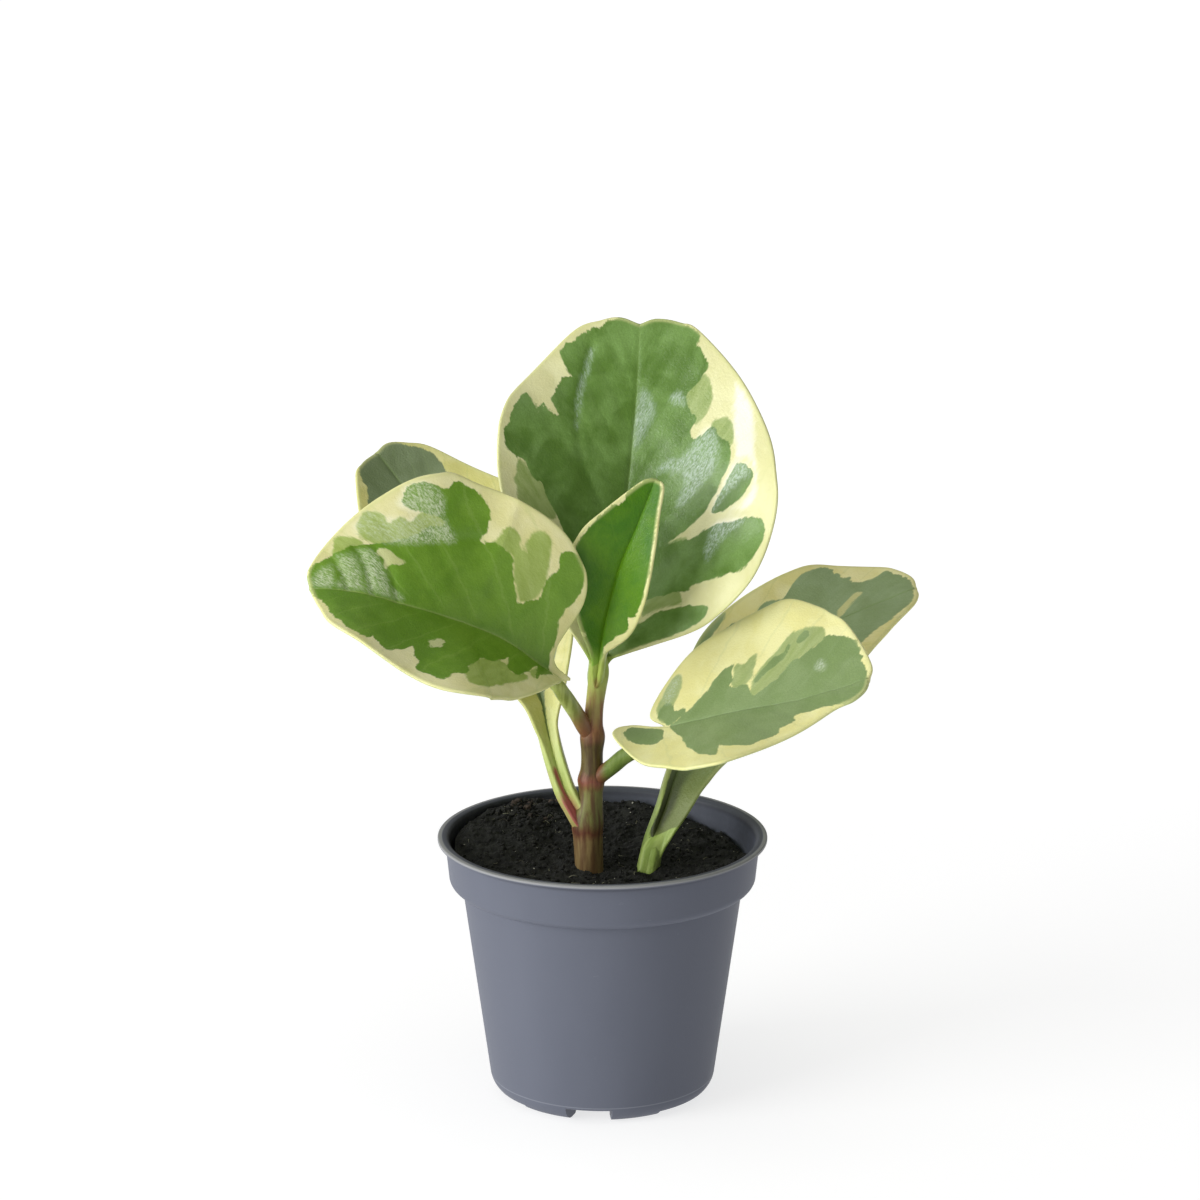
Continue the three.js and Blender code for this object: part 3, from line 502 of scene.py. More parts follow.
LEAF_LEFT_BACK = {
    "name": "leaf_left_back",
    "slot": "leaf",
    "seed": 4,
    "looks": BACK_LOOKS,
    "spine": [
        (-4.6, -5.5, 54.4), (-6.8, -4.5, 58.3), (-8.6, -3, 63.5), (-10, -0.5, 68.4), (-11.7, 3, 74.9),
        (-17.7, 9, 86.4), (-27.9, 17, 98.5), (-36.4, 24, 107.2), (-42, 28, 113.5),
    ],
    "facing": [(0, 0, -1, 0.3), (0.3, 0.1, -1, 0.4), (0.6, 0.1, -0.7, 0.8), (1, 0.1, -0.45, 0.9)],
    "trough": [(0, 45, 6, 45, 6), (0.3, 38, 6, 38, 6), (0.6, 16, 4, 16, 4), (1, 6, 2, 6, 2)],
    "left": [
        (0, 2.1), (6, 1.9), (13, 2.3), (18, 3.8), (23, 6.2), (30, 10.6), (38, 14.8), (47, 17.2), (56, 17),
        (63, 15.2), (75.5, 8), (78, 4.4),
    ],
    "right": [
        (0, 2), (6, 2.4), (13.5, 2.3), (18.6, 3.4), (23.8, 7.4), (29, 11), (37, 15), (47, 17.3), (55, 17),
        (62, 15.2), (74, 10.2), (77.7, 6.5), (79.5, 3.2),
    ],
    "foot": [(-4.2, 1), (-2.2, 1.8)],
    "keel": 1.7,
    "rib": 0.3,
    "quilt": 0.06,
    "stalk_end": 26,
    "red_lines": [
        ([(-9, 0.6), (-2, 0.9), (2, 1.1)], 2.2),
        ([(2, 0.8), (5, 0.9), (8.5, 1.1)], 0.5),
    ],
    "green": [[
        (25, 1.6), (21, 0.9), (17, 0.6), (13, 0.3), (13, -0.4), (17, -0.7), (21, -1), (25, -1.8),
    ], [
        (24, 2), (28, 5), (33, 8.5), (38, 10.5), (41, 12.5), (44, 11), (48, 13.5), (52, 14.5), (55, 12),
        (59, 13), (63, 12.5), (66, 10.5), (69, 9.5), (71, 8.5), (73, 7), (76, 6.5), (78.5, 4.5),
        (79.5, 0), (79, -4), (77, -6), (75, -8), (73, -9), (70, -9), (67, -8.4), (64, -7.6), (61, -8.4),
        (58, -9.6), (54, -11), (50, -11.5), (47, -10), (43, -12), (39, -11.5), (35, -9.5), (31, -8.5),
        (27, -6), (23, -2.5),
    ]],
}

LEAF_RIGHT_FRONT = {
    "name": "leaf_right_front",
    "slot": "leaf",
    "seed": 5,
    "looks": GREY_LOOKS,
    "spine": [
        (11.7, -18, 73.9), (19.7, -21.2, 76.6), (24.2, -23, 78.2), (33.4, -26, 80.8), (40.2, -27.8, 83.3),
        (46.3, -29, 85.9),
    ],
    "facing": [(0, 0, -0.5, 0.87), (1, -0.25, -0.5, 0.87)],
    "trough": [(0, 14, 4, 14, 4), (0.3, 12, 4, 18, 4), (1, 8, 4, 12, 4)],
    "left": [
        (-1.5, 0.9), (-3.8, 2.8), (-1.9, 8.2), (1.8, 13), (6, 16.2), (11.5, 19), (17, 21), (22.5, 21.5),
        (28.5, 20), (33, 17), (36.2, 13.2), (39, 3.4),
    ],
    "right": [
        (-1.7, -0.2), (-4.6, -0.7), (-7.2, -0.2), (-8.7, 2), (-7.9, 5), (-1.8, 12), (4, 15.6), (9, 19),
        (13, 20.2), (17, 19.4), (25, 11.6), (31.5, 6), (35, 5), (37.4, 3),
    ],
    "petiole": [
        (-1.8, -5, 59.4, 1.1), (0, -6.2, 61.8, 1.4), (2, -7.9, 64, 1.45), (4, -10.8, 66.6, 1.45),
        (6.8, -13.6, 69, 1.45), (9.9, -16, 71.2, 1.4), (13.4, -17.9, 73.1, 1.2), (19.8, -21, 75.9, 0.8),
        (24.3, -22.8, 77.6, 0.6),
    ],
    "keel": 0.3,
    "ear_lift": 0.045,
    "rib": 0.1,
    "furrow": 0.1,
    "quilt": 0.06,
    "vein_slope": 0.45,
    "blush_reach": 4.6,
    "green": [[
        (38, 2), (37.6, 3.5), (37.2, 4.2), (37.8, 5), (37.4, 5.8), (37.9, 6.8), (37.4, 7.6), (37.5, 8.6),
        (36.6, 9.2), (36.2, 9.9), (35.2, 10.6), (34.2, 11.2), (32.5, 11.7), (31.2, 12), (30.4, 11.2),
        (29, 10.6), (27.8, 10), (26.4, 9.2), (25, 8.7), (23.6, 8.3), (22.6, 7.4), (21.6, 6.4),
        (20.6, 5.3), (19.4, 4.6), (18.4, 3.6), (17.2, 3), (16.2, 2.8), (15.8, 4), (15.2, 5.2), (14, 5.6),
        (12.8, 5.3), (11.8, 5.8), (12.5, 6.8), (12.5, 8), (12, 9), (12.8, 10.3), (11.8, 9.9), (10.3, 9.7),
        (9.4, 8.8), (8.4, 7.6), (7.6, 6), (6.4, 5), (5, 3.8), (4, 2.8), (2.8, 1.8), (1.4, 0.8), (0.3, 0),
        (1, -1.4), (2, -2.8), (3, -4), (4, -5), (5, -7), (6.2, -9.2), (7.5, -11), (9, -13), (10.5, -14.5),
        (11.5, -15.2), (12.5, -16), (13.6, -16.8), (14, -16), (13.6, -14), (13.4, -12.2), (14.2, -12.8),
        (15.2, -13.6), (16.6, -14), (18, -14.2), (19.3, -14), (20.5, -13), (22, -11.6), (23.1, -10.6),
        (23.2, -9.8), (23.1, -9), (24, -8.2), (25, -7.6), (25.4, -6.8), (25, -6), (25, -5.4), (26.5, -5),
        (28.5, -4.6), (30, -4.5), (32, -4.8), (33.6, -5.4), (35.2, -5.2), (36.4, -4.2), (37.4, -3),
        (37.9, -1),
    ], [
        (-0.6, -1.4), (-0.2, -3), (0.3, -4.4), (-0.2, -5.2), (-1.2, -6), (-3, -5.8), (-5, -5.2),
        (-6.2, -4), (-7, -2.2), (-6.6, -0.6), (-4.4, 0), (-2, -0.4),
    ], [
        (0.2, 0.2), (-0.8, 0.7), (-2.2, 2), (-1.8, 4), (-0.4, 5), (0.6, 4.4), (1.2, 3), (2.8, 3.2),
        (3.2, 2), (1.6, 0.8),
    ], [
        (28.2, 13.4), (27.6, 14), (26.4, 13.8), (25.4, 13), (25, 12), (26, 11.9), (27.4, 12.4),
    ], [
        (23.4, 12), (22, 10.6), (20, 9.9), (18.4, 8.4), (16.8, 6.4), (16.3, 5), (17.4, 5.6), (19.2, 7.2),
        (21, 8.4), (22.8, 10.2),
    ]],
    "sage": [[
        (31.4, 12.4), (31, 13.8), (29.4, 14.7), (26.5, 14.6), (24.5, 14.4), (23, 13.8), (21.8, 12.6),
        (20.4, 11.2), (19, 10), (17.6, 8.4), (16.4, 6.6), (15.8, 4.6), (16, 2.6), (18, 3), (21, 5),
        (24, 8), (28, 9.6), (30.4, 10.8),
    ], [
        (16.6, 11.4), (15.4, 11), (14.4, 9.9), (13.2, 10.2), (12.4, 9), (12.2, 6.4), (12.6, 5),
        (14.4, 5.2), (16, 6.4), (16.4, 8.6),
    ], [
        (2.4, 8.4), (1.8, 10.6), (0.4, 10.2), (-0.8, 8), (-1.8, 6), (-2.6, 4), (-2, 2), (-0.4, 0.6),
        (1.6, 0.9), (0.8, 2), (0.6, 3.6), (1.4, 5.6),
    ]],
    "light": [[
        (1.8, 10.4), (0.4, 10), (-0.6, 8), (-1.4, 5.8), (0, 4.8), (1, 6), (1.8, 8.2),
    ], [
        (30.4, 5), (30.6, 6.6), (29.6, 7.4), (28.6, 6.6), (28.8, 5.4), (29.6, 4.8),
    ]],
}

LEAF_RIGHT_BACK = {
    "name": "leaf_right_back",
    "slot": "leaf",
    "seed": 6,
    "looks": FOOT_LOOKS,
    "shine": 0.25,
    "coat": 0,
    "spine": [
        (8.3, -3, 43), (9.4, -2, 48.4), (11.7, -0.5, 54.6), (13.7, 1.5, 60.2), (18.1, 5, 67.7),
        (26, 10, 75.8), (38.2, 16, 81.7), (48.5, 20, 85.4), (58.4, 23, 88.7),
    ],
    "facing": [
        (0, -0.2, -0.9, 0.2), (0.15, -0.1, -0.9, 0.25), (0.3, 0.05, -0.85, 0.4), (0.6, 0, -0.6, 0.75),
        (1, -0.15, -0.4, 0.9),
    ],
    "trough": [(0, 42, 6, 34, 6), (0.25, 38, 6, 28, 6), (0.6, 14, 4, 14, 4), (1, 4, 4, 4, 4)],
    "left": [
        (0, 2.2), (3, 1.8), (6, 1.5), (9, 1.4), (14, 1.9), (19, 2.6), (25, 4.4), (33, 8.4), (41, 11.2),
        (50, 12.9), (58, 13.5), (64.6, 13.2), (74, 9), (77, 6.2), (78.4, 3),
    ],
    "right": [
        (0, 2.3), (3, 2.9), (6, 3.8), (9, 4.5), (16, 6.5), (22, 8), (30, 11), (40, 14.5), (50, 15.5),
        (58, 13.6), (64, 10.6), (74, 5.2), (77, 2.4),
    ],
    "foot": [(-9, 2.2)],
    "keel": 1.8,
    "fill": (8, 3),
    "rib": 0.3,
    "quilt": 0.06,
    "stalk_end": 34,
    "green": [[
        (30, 5), (25, 3), (20, 1.8), (15, 1.5), (12, 1.35), (9, 1.3), (6.4, 1.4), (5.2, 0.8), (5.8, -0.6),
        (7, -1.8), (8.6, -3.4), (10, -5.4), (14, -7), (18, -8.5), (22, -10), (30, -12),
    ], [
        (26, 2), (31, 4), (36, 6.5), (40, 8), (44, 9), (47, 7.5), (51, 9.5), (55, 9), (58, 10.8),
        (61, 12), (64.4, 12.2), (66, 11.4), (65.8, 10.4), (67, 9.8), (66.4, 8.8), (68.2, 8.2),
        (67.8, 7.2), (70.4, 6.2), (72.6, 6.6), (74.6, 7.2), (75.6, 5.6), (77.2, 3.4), (77.4, 1),
        (76.4, -1.5), (75, -3.4), (72, -5), (69, -6.2), (66, -7), (63.5, -7.8), (59, -10), (55, -12.5),
        (51, -11), (47, -12), (42, -12.5), (38, -10), (34, -9), (29, -6), (25, -3),
    ], [
        (34, 8.8), (38, 10.4), (42, 11.4), (44.5, 11.6), (43, 10.2), (39, 8.8), (35, 7.6),
    ]],
    "pale": [[
        (68.4, 3.8), (67.4, 4.5), (66, 4), (64.4, 3.1), (62.4, 2), (61, 0.4), (62.6, 0.6), (64, 1.5),
        (66, 2.5), (67.6, 3.2),
    ]],
    "light": [[
        (5.2, -0.2), (7, -1), (9, -1.4), (12, -2), (16, -2.4), (20, -3), (24, -4), (24, -11), (16, -9),
        (10, -6.5), (5, -4),
    ]],
}

# ---- Curves ----


def spline_spans(padded, per_span):
    """Places on a smooth curve from the second point to the last but one."""
    t = np.linspace(0, 1, per_span, endpoint=False)[:, None]
    spans = []
    for a, b, c, d in zip(padded, padded[1:], padded[2:], padded[3:]):
        square = (2 * a - 5 * b + 4 * c - d) * t**2
        cube = (3 * b - a - 3 * c + d) * t**3
        spans.append(0.5 * (2 * b + (c - a) * t + square + cube))
    return np.vstack(spans)


def curve_through(points, per_span=24):
    """A smooth curve through all the points, as many closely spaced places on it."""
    points = np.array(points, float)
    first = 2 * points[0] - points[1]
    last = 2 * points[-1] - points[-2]
    spans = spline_spans(np.vstack([first, points, last]), per_span)
    return np.vstack([spans, points[-1:]])


def closed_curve_through(points, per_span=6):
    """A smooth closed curve through all the points."""
    points = np.array(points, float)
    return spline_spans(np.vstack([points[-1:], points, points[:2]]), per_span)


def length_along(places):
    steps = np.linalg.norm(np.diff(places, axis=0), axis=1)
    return np.concatenate([[0], np.cumsum(steps)])


def at_shares(places, shares):
    """Places at the given shares of a curve's length."""
    along = length_along(places)
    wanted = np.asarray(shares) * along[-1]
    return np.stack([np.interp(wanted, along, column) for column in places.T], axis=-1)


def unit(vectors):
    return vectors / np.linalg.norm(vectors, axis=-1, keepdims=True)


def smooth_step(low, high, value):
    t = np.clip((value - low) / (high - low), 0, 1)
    return t * t * (3 - 2 * t)


def eased_rows(table, shares):
    """Values between the rows of a table whose first column is the share of the length."""
    table = np.array(table, float)
    row = np.clip(np.searchsorted(table[:, 0], shares, side="right") - 1, 0, len(table) - 2)
    ease = smooth_step(table[row, 0], table[row + 1, 0], shares)[..., None]
    return table[row, 1:] * (1 - ease) + table[row + 1, 1:] * ease


def distance_to_line(points, line):
    """Distance from each point to an open polyline."""
    nearest = np.full(len(points), np.inf)
    for a, b in zip(line[:-1], line[1:]):
        along = b - a
        share = np.clip(((points - a) @ along) / max(along @ along, 1e-12), 0, 1)
        gap = np.linalg.norm(points - a - share[:, None] * along, axis=1)
        nearest = np.minimum(nearest, gap)
    return nearest


def depth_in_outline(points, outline):
    """How far inside a closed outline each point is; negative outside."""
    closed = np.vstack([outline, outline[:1]])
    inside = np.zeros(len(points), bool)
    for a, b in zip(closed[:-1], closed[1:]):
        crosses = (a[1] > points[:, 1]) != (b[1] > points[:, 1])
        rise = b[1] - a[1] if b[1] != a[1] else 1
        at = a[0] + (b[0] - a[0]) * (points[:, 1] - a[1]) / rise
        inside ^= crosses & (points[:, 0] < at)
    gap = distance_to_line(points, closed)
    return np.where(inside, gap, -gap)


# ---- Meshes ----


def circle(radius, count):
    """Points evenly round a circle."""
    angles = [index / count * 2 * math.pi for index in range(count)]
    return [(radius * math.cos(angle), radius * math.sin(angle)) for angle in angles]


def neighbours(count):
    """Each place on a ring with the one after it."""
    return [(index, (index + 1) % count) for index in range(count)]


def joined(parts):
    """Several pairs of vertices and faces as one pair."""
    vertices = []
    faces = []
    first = 0
    for part_vertices, part_faces in parts:
        vertices.append(part_vertices)
        faces += [tuple(first + corner for corner in face) for face in part_faces]
        first += len(part_vertices)
    return np.vstack(vertices), faces


def add_object(name, data):
    thing = bpy.data.objects.new(name, data)
    bpy.context.scene.collection.objects.link(thing)
    return thing


def new_mesh(name, vertices, faces):
    """A mesh from places in millimetres about the pot's axis."""
    mesh = bpy.data.meshes.new(name)
    mesh.from_pydata((np.asarray(vertices, float) * MM + AXIS).tolist(), [], faces)
    return mesh


def make_piece(name, vertices, faces, material, node, values=None, sharp=None):
    """A piece that rides on the root, with float values for each of its vertices."""
    mesh = new_mesh(name, vertices, faces)
    for key, column in (values or {}).items():
        attribute = mesh.attributes.new(key, "FLOAT", "POINT")
        attribute.data.foreach_set("value", np.asarray(column, np.float32))
    mesh.materials.append(material)
    mesh.shade_smooth()
    if sharp is not None:
        mesh.set_sharp_from_angle(angle=math.radians(sharp))
    piece = add_object(name, mesh)
    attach(piece, "root")
    if node:
        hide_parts(node)
    return piece


def tube(places, radii, sides):
    """Vertices and faces of a closed round tube, whose rings keep turning with the curve."""
    along = unit(np.gradient(places, axis=0))
    side = unit(np.cross(along[0], (0, 1, 0.2)))
    angles = np.arange(sides)[:, None] / sides * 2 * math.pi
    pairs = neighbours(sides)
    vertices = []
    faces = []
    for index, (centre, way, radius) in enumerate(zip(places, along, radii)):
        side = unit(side - way * (side @ way))
        up = np.cross(way, side)
        vertices.append(centre + radius * (np.cos(angles) * side + np.sin(angles) * up))
        if index:
            low = (index - 1) * sides
            faces += [(low + a, low + b, low + sides + b, low + sides + a) for a, b in pairs]
    vertices = np.vstack([*vertices, places[:1], places[-1:]])
    start = len(vertices) - 2
    last = start - sides
    for a, b in pairs:
        faces += [(start, b, a), (start + 1, last + a, last + b)]
    return vertices, faces


# ---- Materials ----


def colour(red, green, blue):
    """A colour given as screen values from 0 to 255."""
    def linear(value):
        share = value / 255
        return share / 12.92 if share <= 0.04045 else ((share + 0.055) / 1.055) ** 2.4
    return (linear(red), linear(green), linear(blue), 1)


class Shader:
    """A material and short names for the nodes that it uses."""

    def __init__(self, name):
        self.material = bpy.data.materials.new(name)
        self.material.use_nodes = True
        self.nodes = self.material.node_tree.nodes
        self.links = self.material.node_tree.links
        self.surface = self.nodes["Principled BSDF"]

    def set(self, socket, value):
        if isinstance(value, bpy.types.NodeSocket):
            self.links.new(value, socket)
        else:
            socket.default_value = value

    def new(self, kind, *inputs, **named):
        """A new node, with its inputs in order or by name."""
        node = self.nodes.new("ShaderNode" + kind)
        for socket, value in zip(node.inputs, inputs):
            self.set(socket, value)
        for name, value in named.items():
            self.set(node.inputs[name.replace("_", " ")], value)
        return node

    def attribute(self, name):
        node = self.new("Attribute")
        node.attribute_name = name
        return node.outputs["Fac"]

    def place(self, stretch=(1, 1, 1)):
        """The place on the surface in millimetres from the axis of the pot, scaled on each axis."""
        scale = [share / MM for share in stretch]
        shift = [-share * at / MM for share, at in zip(stretch, AXIS)]
        node = self.new("VectorMath", self.new("TexCoord").outputs["Object"])
        node.operation = "MULTIPLY_ADD"
        self.set(node.inputs[1], scale)
        self.set(node.inputs[2], shift)
        return node.outputs[0]

    def math(self, operation, a, b=0.0):
        node = self.new("Math", a, b)
        node.operation = operation
        return node.outputs[0]

    def times(self, a, b):
        return self.math("MULTIPLY", a, b)

    def plus(self, a, b):
        return self.math("ADD", a, b)

    def minus(self, a, b):
        return self.math("SUBTRACT", a, b)

    def vector(self, x, y, z):
        return self.new("CombineXYZ", x, y, z).outputs[0]

    def part(self, vector, axis):
        return self.new("SeparateXYZ", vector).outputs[axis]

    def length(self, vector):
        node = self.new("VectorMath", vector)
        node.operation = "LENGTH"
        return node.outputs["Value"]

    def noise(self, vector, scale, detail, rough=0.5, warp=0.0):
        node = self.new("TexNoise", Vector=vector, Scale=scale, Detail=detail)
        self.set(node.inputs["Roughness"], rough)
        self.set(node.inputs["Distortion"], warp)
        return node.outputs["Fac"]

    def remap(self, value, low, high, out_low=0.0, out_high=1.0):
        """The value's way from low to high, eased, as a way between the two other numbers."""
        node = self.new("MapRange", Value=value, From_Min=low, From_Max=high)
        node.interpolation_type = "SMOOTHSTEP"
        self.set(node.inputs["To Min"], out_low)
        self.set(node.inputs["To Max"], out_high)
        return node.outputs["Result"]

    def ramp(self, value, low, high, stops):
        """Colours at places between low and high, blended in between."""
        share = self.math("DIVIDE", self.minus(value, low), high - low)
        node = self.new("ValToRGB", share)
        elements = node.color_ramp.elements
        while len(elements) < len(stops):
            elements.new(1)
        for element, (at, *tone) in zip(elements, stops):
            element.position = (at - low) / (high - low)
            element.color = colour(*tone)
        return node.outputs["Color"]

    def mix(self, share, a, b):
        node = self.new("Mix")
        node.data_type = "RGBA"
        for index, value in ((0, share), (6, a), (7, b)):
            self.set(node.inputs[index], value)
        return node.outputs[2]

    def bump(self, height, depth, normal=None):
        """Relief of the given depth, in millimetres."""
        node = self.new("Bump", Height=height, Strength=1, Distance=depth * MM)
        if normal:
            self.set(node.inputs["Normal"], normal)
        return node.outputs["Normal"]

    def finish(self, **inputs):
        for name, value in inputs.items():
            self.set(self.surface.inputs[name.replace("_", " ")], value)
        return self.material


def vein_lines(s, flat, lane, v):
    """Thin lines along the side veins, which start a little out from the midrib."""
    bent = s.plus(lane, s.times(s.noise(flat, 0.25, 3), 2.4))
    half = s.times(s.remap(v, -0.05, 0.05), VEIN_SHIFT * VEIN_SPACING)
    gap = s.math("PINGPONG", s.plus(bent, half), VEIN_SPACING / 2)
    return s.times(s.remap(gap, 0.3, 0.1), s.remap(s.math("ABSOLUTE", v), 0.5, 3))


def patch_shift(s, veined, stalk):
    """How far the edge of a patch wanders and frays, less on the stalk than on the blade."""
    wander = s.times(s.minus(s.noise(veined, 0.6, 3, 0.55), 0.5), 1.1)
    fray = s.times(s.minus(s.noise(veined, 2.6, 3, 0.65), 0.5), 0.8)
    return s.times(s.plus(wander, fray), s.remap(stalk, 0.2, 1, 1, 0.25))


def blade_tones(s, looks, flat, veined, grain, painted_highlight, speckled_highlight):
    """The cream, the sage and the green of the blade, each painted paler where the painted highlight
    falls.
    """
    blotch = s.remap(s.noise(flat, 0.14, 3, 0.6, 0.4), 0.35, 0.65)
    streak = s.remap(s.noise(veined, 0.9, 4, 0.6), 0.3, 0.7)
    cream = s.mix(blotch, looks["cream"], looks["cream_warm"])
    cream = s.mix(s.times(painted_highlight, 0.85), cream, looks["cream_light"])
    sage = s.mix(streak, looks["sage"], looks["sage_deep"])
    sage = s.mix(s.times(speckled_highlight, 0.7), sage, looks["light"])
    green = s.mix(blotch, looks["green"], looks["green_light"])
    green = s.mix(s.times(streak, 0.2), green, looks["green_deep"])
    green = s.mix(s.times(grain, 0.25), green, looks["green_deep"])
    green = s.mix(speckled_highlight, green, looks["light"])
    return cream, sage, green


def leaf_tone(s, leaf, flat, veined, grain):
    """Cream with patches of sage and green, whose edges feather along the side veins."""
    looks = {key: colour(*tone) for key, tone in {**LOOKS, **leaf["looks"]}.items()}
    u = s.attribute("leaf_u")
    v = s.attribute("leaf_v")
    lane = s.attribute("lane")
    stalk = s.attribute("stalk")
    under = s.attribute("under")
    shift = patch_shift(s, veined, stalk)
    green = s.remap(s.plus(s.attribute("green"), shift), -0.12, 0.16)
    sage = s.remap(s.plus(s.attribute("sage"), shift), -0.2, 0.35)
    pale = s.remap(s.plus(s.attribute("pale"), shift), -0.1, 0.2)
    # Painted highlight: in the light patches the blade is painted paler, with a speckle, where the window
    # shines.
    uneven = s.plus(s.attribute("light"), s.times(shift, 1.5))
    painted_highlight = s.times(s.remap(uneven, -0.7, 0.9), s.minus(1, under))
    ridged = s.vector(s.times(lane, 1.6), s.times(v, 1.1), leaf["seed"])
    highlight_sparkle = s.remap(s.noise(ridged, 2.2, 5, 0.8), 0.42, 0.6, 0.1, 0.85)
    speckled_highlight = s.times(painted_highlight, highlight_sparkle)
    cream_tone, sage_tone, green_tone = blade_tones(s, looks, flat, veined, grain, painted_highlight, speckled_highlight)
    fibre = s.noise(s.vector(s.times(u, 0.15), v, leaf["seed"]), 1.3, 3)
    stalk_tone = s.mix(s.remap(fibre, 0.35, 0.65), looks["stalk"], looks["stalk_deep"])
    # Painted highlight on the stalk's channel too, in the light patches.
    channel_tone = s.mix(painted_highlight, looks["channel"], looks["light"])
    green_tone = s.mix(stalk, green_tone, s.mix(under, channel_tone, stalk_tone))
    vein = s.remap(stalk, 0.5, 0, 0, leaf.get("veins", 0.1))
    tone = s.mix(stalk, cream_tone, stalk_tone)
    tone = s.mix(sage, tone, sage_tone)
    tone = s.mix(green, tone, green_tone)
    tone = s.mix(s.times(pale, 0.65), tone, cream_tone)
    tone = s.mix(s.attribute("rib"), tone, looks["rib"])
    tone = s.mix(s.times(vein_lines(s, flat, lane, v), vein), tone, looks["rib"])
    tone = s.mix(s.times(s.attribute("edge"), 0.5), tone, looks["edge"])
    tone = s.mix(s.attribute("red"), tone, s.mix(fibre, looks["red"], looks["blush"]))
    blade_under = s.times(under, s.minus(1, stalk))
    return s.mix(s.times(blade_under, 0.55), tone, looks["under"])


def leaf_material(leaf):
    """Smooth, slightly pebbled skin that lets a little light in."""
    s = Shader(leaf["name"].replace("leaf", "skin"))
    v = s.attribute("leaf_v")
    flat = s.vector(s.attribute("leaf_u"), v, leaf["seed"])
    veined = s.vector(s.attribute("lane"), s.times(v, 0.35), leaf["seed"])
    grain = s.remap(s.noise(flat, 3.2, 4, 0.6), 0.3, 0.7)
    normal = s.bump(s.noise(flat, 2.2, 4, 0.65), 0.09)
    return s.finish(
        Base_Color=leaf_tone(s, leaf, flat, veined, grain),
        Roughness=s.remap(grain, 0, 1, 0.3, 0.42),
        Normal=normal,
        Specular_IOR_Level=leaf.get("shine", 0.34),
        Coat_Weight=leaf.get("coat", 0.06),
        Coat_Roughness=0.24,
        Coat_Normal=normal,
        Subsurface_Weight=0.06,
        Subsurface_Radius=(0.9, 1.0, 0.4),
        Subsurface_Scale=MM,
    )


def dust_and_shade_share(s, height, radius):
    """How dark the collar is painted inside, partly dusty and partly painted shade, most at the left and
    not at all outside.
    """
    slope = (COLLAR_TOP_RADIUS - COLLAR_LOW_RADIUS) / (POT_HEIGHT - COLLAR_BOTTOM)
    across = s.minus(radius, s.times(s.minus(height, COLLAR_BOTTOM), slope))
    within = COLLAR_LOW_RADIUS - POT_WALL / 2
    inside = s.times(s.remap(across, within + 0.1, within - 0.1), s.remap(height, *DUST_AND_SHADE_HEIGHTS))
    dust_and_shade = s.times(inside, s.remap(s.noise(s.place(), 0.8, 4), 0.2, 0.7, 0.6, 1))
    return s.times(dust_and_shade, s.remap(s.part(s.place(), "X"), *DUST_AND_SHADE_ACROSS, 1, 0.3))


def pot_material():
    s = Shader("matte_blue_grey_plastic")
    speckle = s.noise(s.place(), 3.2, 2)
    broad = s.noise(s.place((1, 1, 0.4)), 0.09, 3)
    scuff = s.remap(s.noise(s.place((0.8, 0.8, 3)), 0.55, 5, 0.7), 0.66, 0.76)
    height = s.part(s.place(), "Z")
    radius = s.length(s.place((1, 1, 0)))
    lip_inside = s.times(s.remap(radius, *LIP_INSIDE_SHADE_RADII), s.remap(height, *LIP_INSIDE_SHADE_HEIGHTS))
    lip_highlight = s.times(s.remap(radius, *LIP_HIGHLIGHT_RADII), s.remap(height, *LIP_HIGHLIGHT_HEIGHTS))
    under_lip_shadow = s.times(s.remap(height, *UNDER_LIP_SHADOW_FROM), s.remap(height, *UNDER_LIP_SHADOW_TO))
    from_crease = s.math("ABSOLUTE", s.minus(height, CREASE_HEIGHT))
    tone = s.mix(broad, colour(90, 94, 106), colour(98, 102, 114))
    tone = s.mix(s.times(scuff, 0.12), tone, colour(168, 172, 182))
    # Dusty wall and painted shade: the inside of the collar is darker, most at the left.
    tone = s.mix(dust_and_shade_share(s, height, radius), tone, colour(38, 40, 42))
    # Painted shade: the inner part of the lip's top is painted darker.
    tone = s.mix(s.times(lip_inside, 0.55), tone, colour(56, 58, 62))
    # Painted highlight: a light line along the outer top edge of the lip.
    tone = s.mix(s.times(lip_highlight, 0.65), tone, colour(160, 160, 158))
    # Painted shadow: a dark band just under the lip.
    tone = s.mix(s.times(under_lip_shadow, 0.5), tone, colour(60, 60, 66))
    tone = s.mix(s.remap(from_crease, 0.16, 0.05, 0, 0.22), tone, colour(168, 172, 180))
    return s.finish(
        Base_Color=tone,
        Roughness=s.remap(broad, 0.3, 0.7, 0.48, 0.56),
        Specular_IOR_Level=0.18,
        Normal=s.bump(speckle, 0.02),
    )


def soil_material():
    s = Shader("dark_peat")
    clump = s.noise(s.place(), 0.45, 5, 0.65)
    tone = s.mix(s.remap(clump, 0.35, 0.65), colour(13, 14, 12), colour(32, 33, 28))
    return s.finish(Base_Color=tone, Roughness=1, Normal=s.bump(s.noise(s.place(), 1.7, 4), 0.35))


def bits_material(name, low, high):
    """Small bits whose tone differs from one to the next."""
    s = Shader(name)
    tone = s.mix(s.attribute("shade"), low, high)
    grain = s.noise(s.place(), 3, 4)
    tone = s.mix(s.times(grain, 0.5), tone, low)
    return s.finish(Base_Color=tone, Roughness=0.95, Normal=s.bump(grain, 0.15))


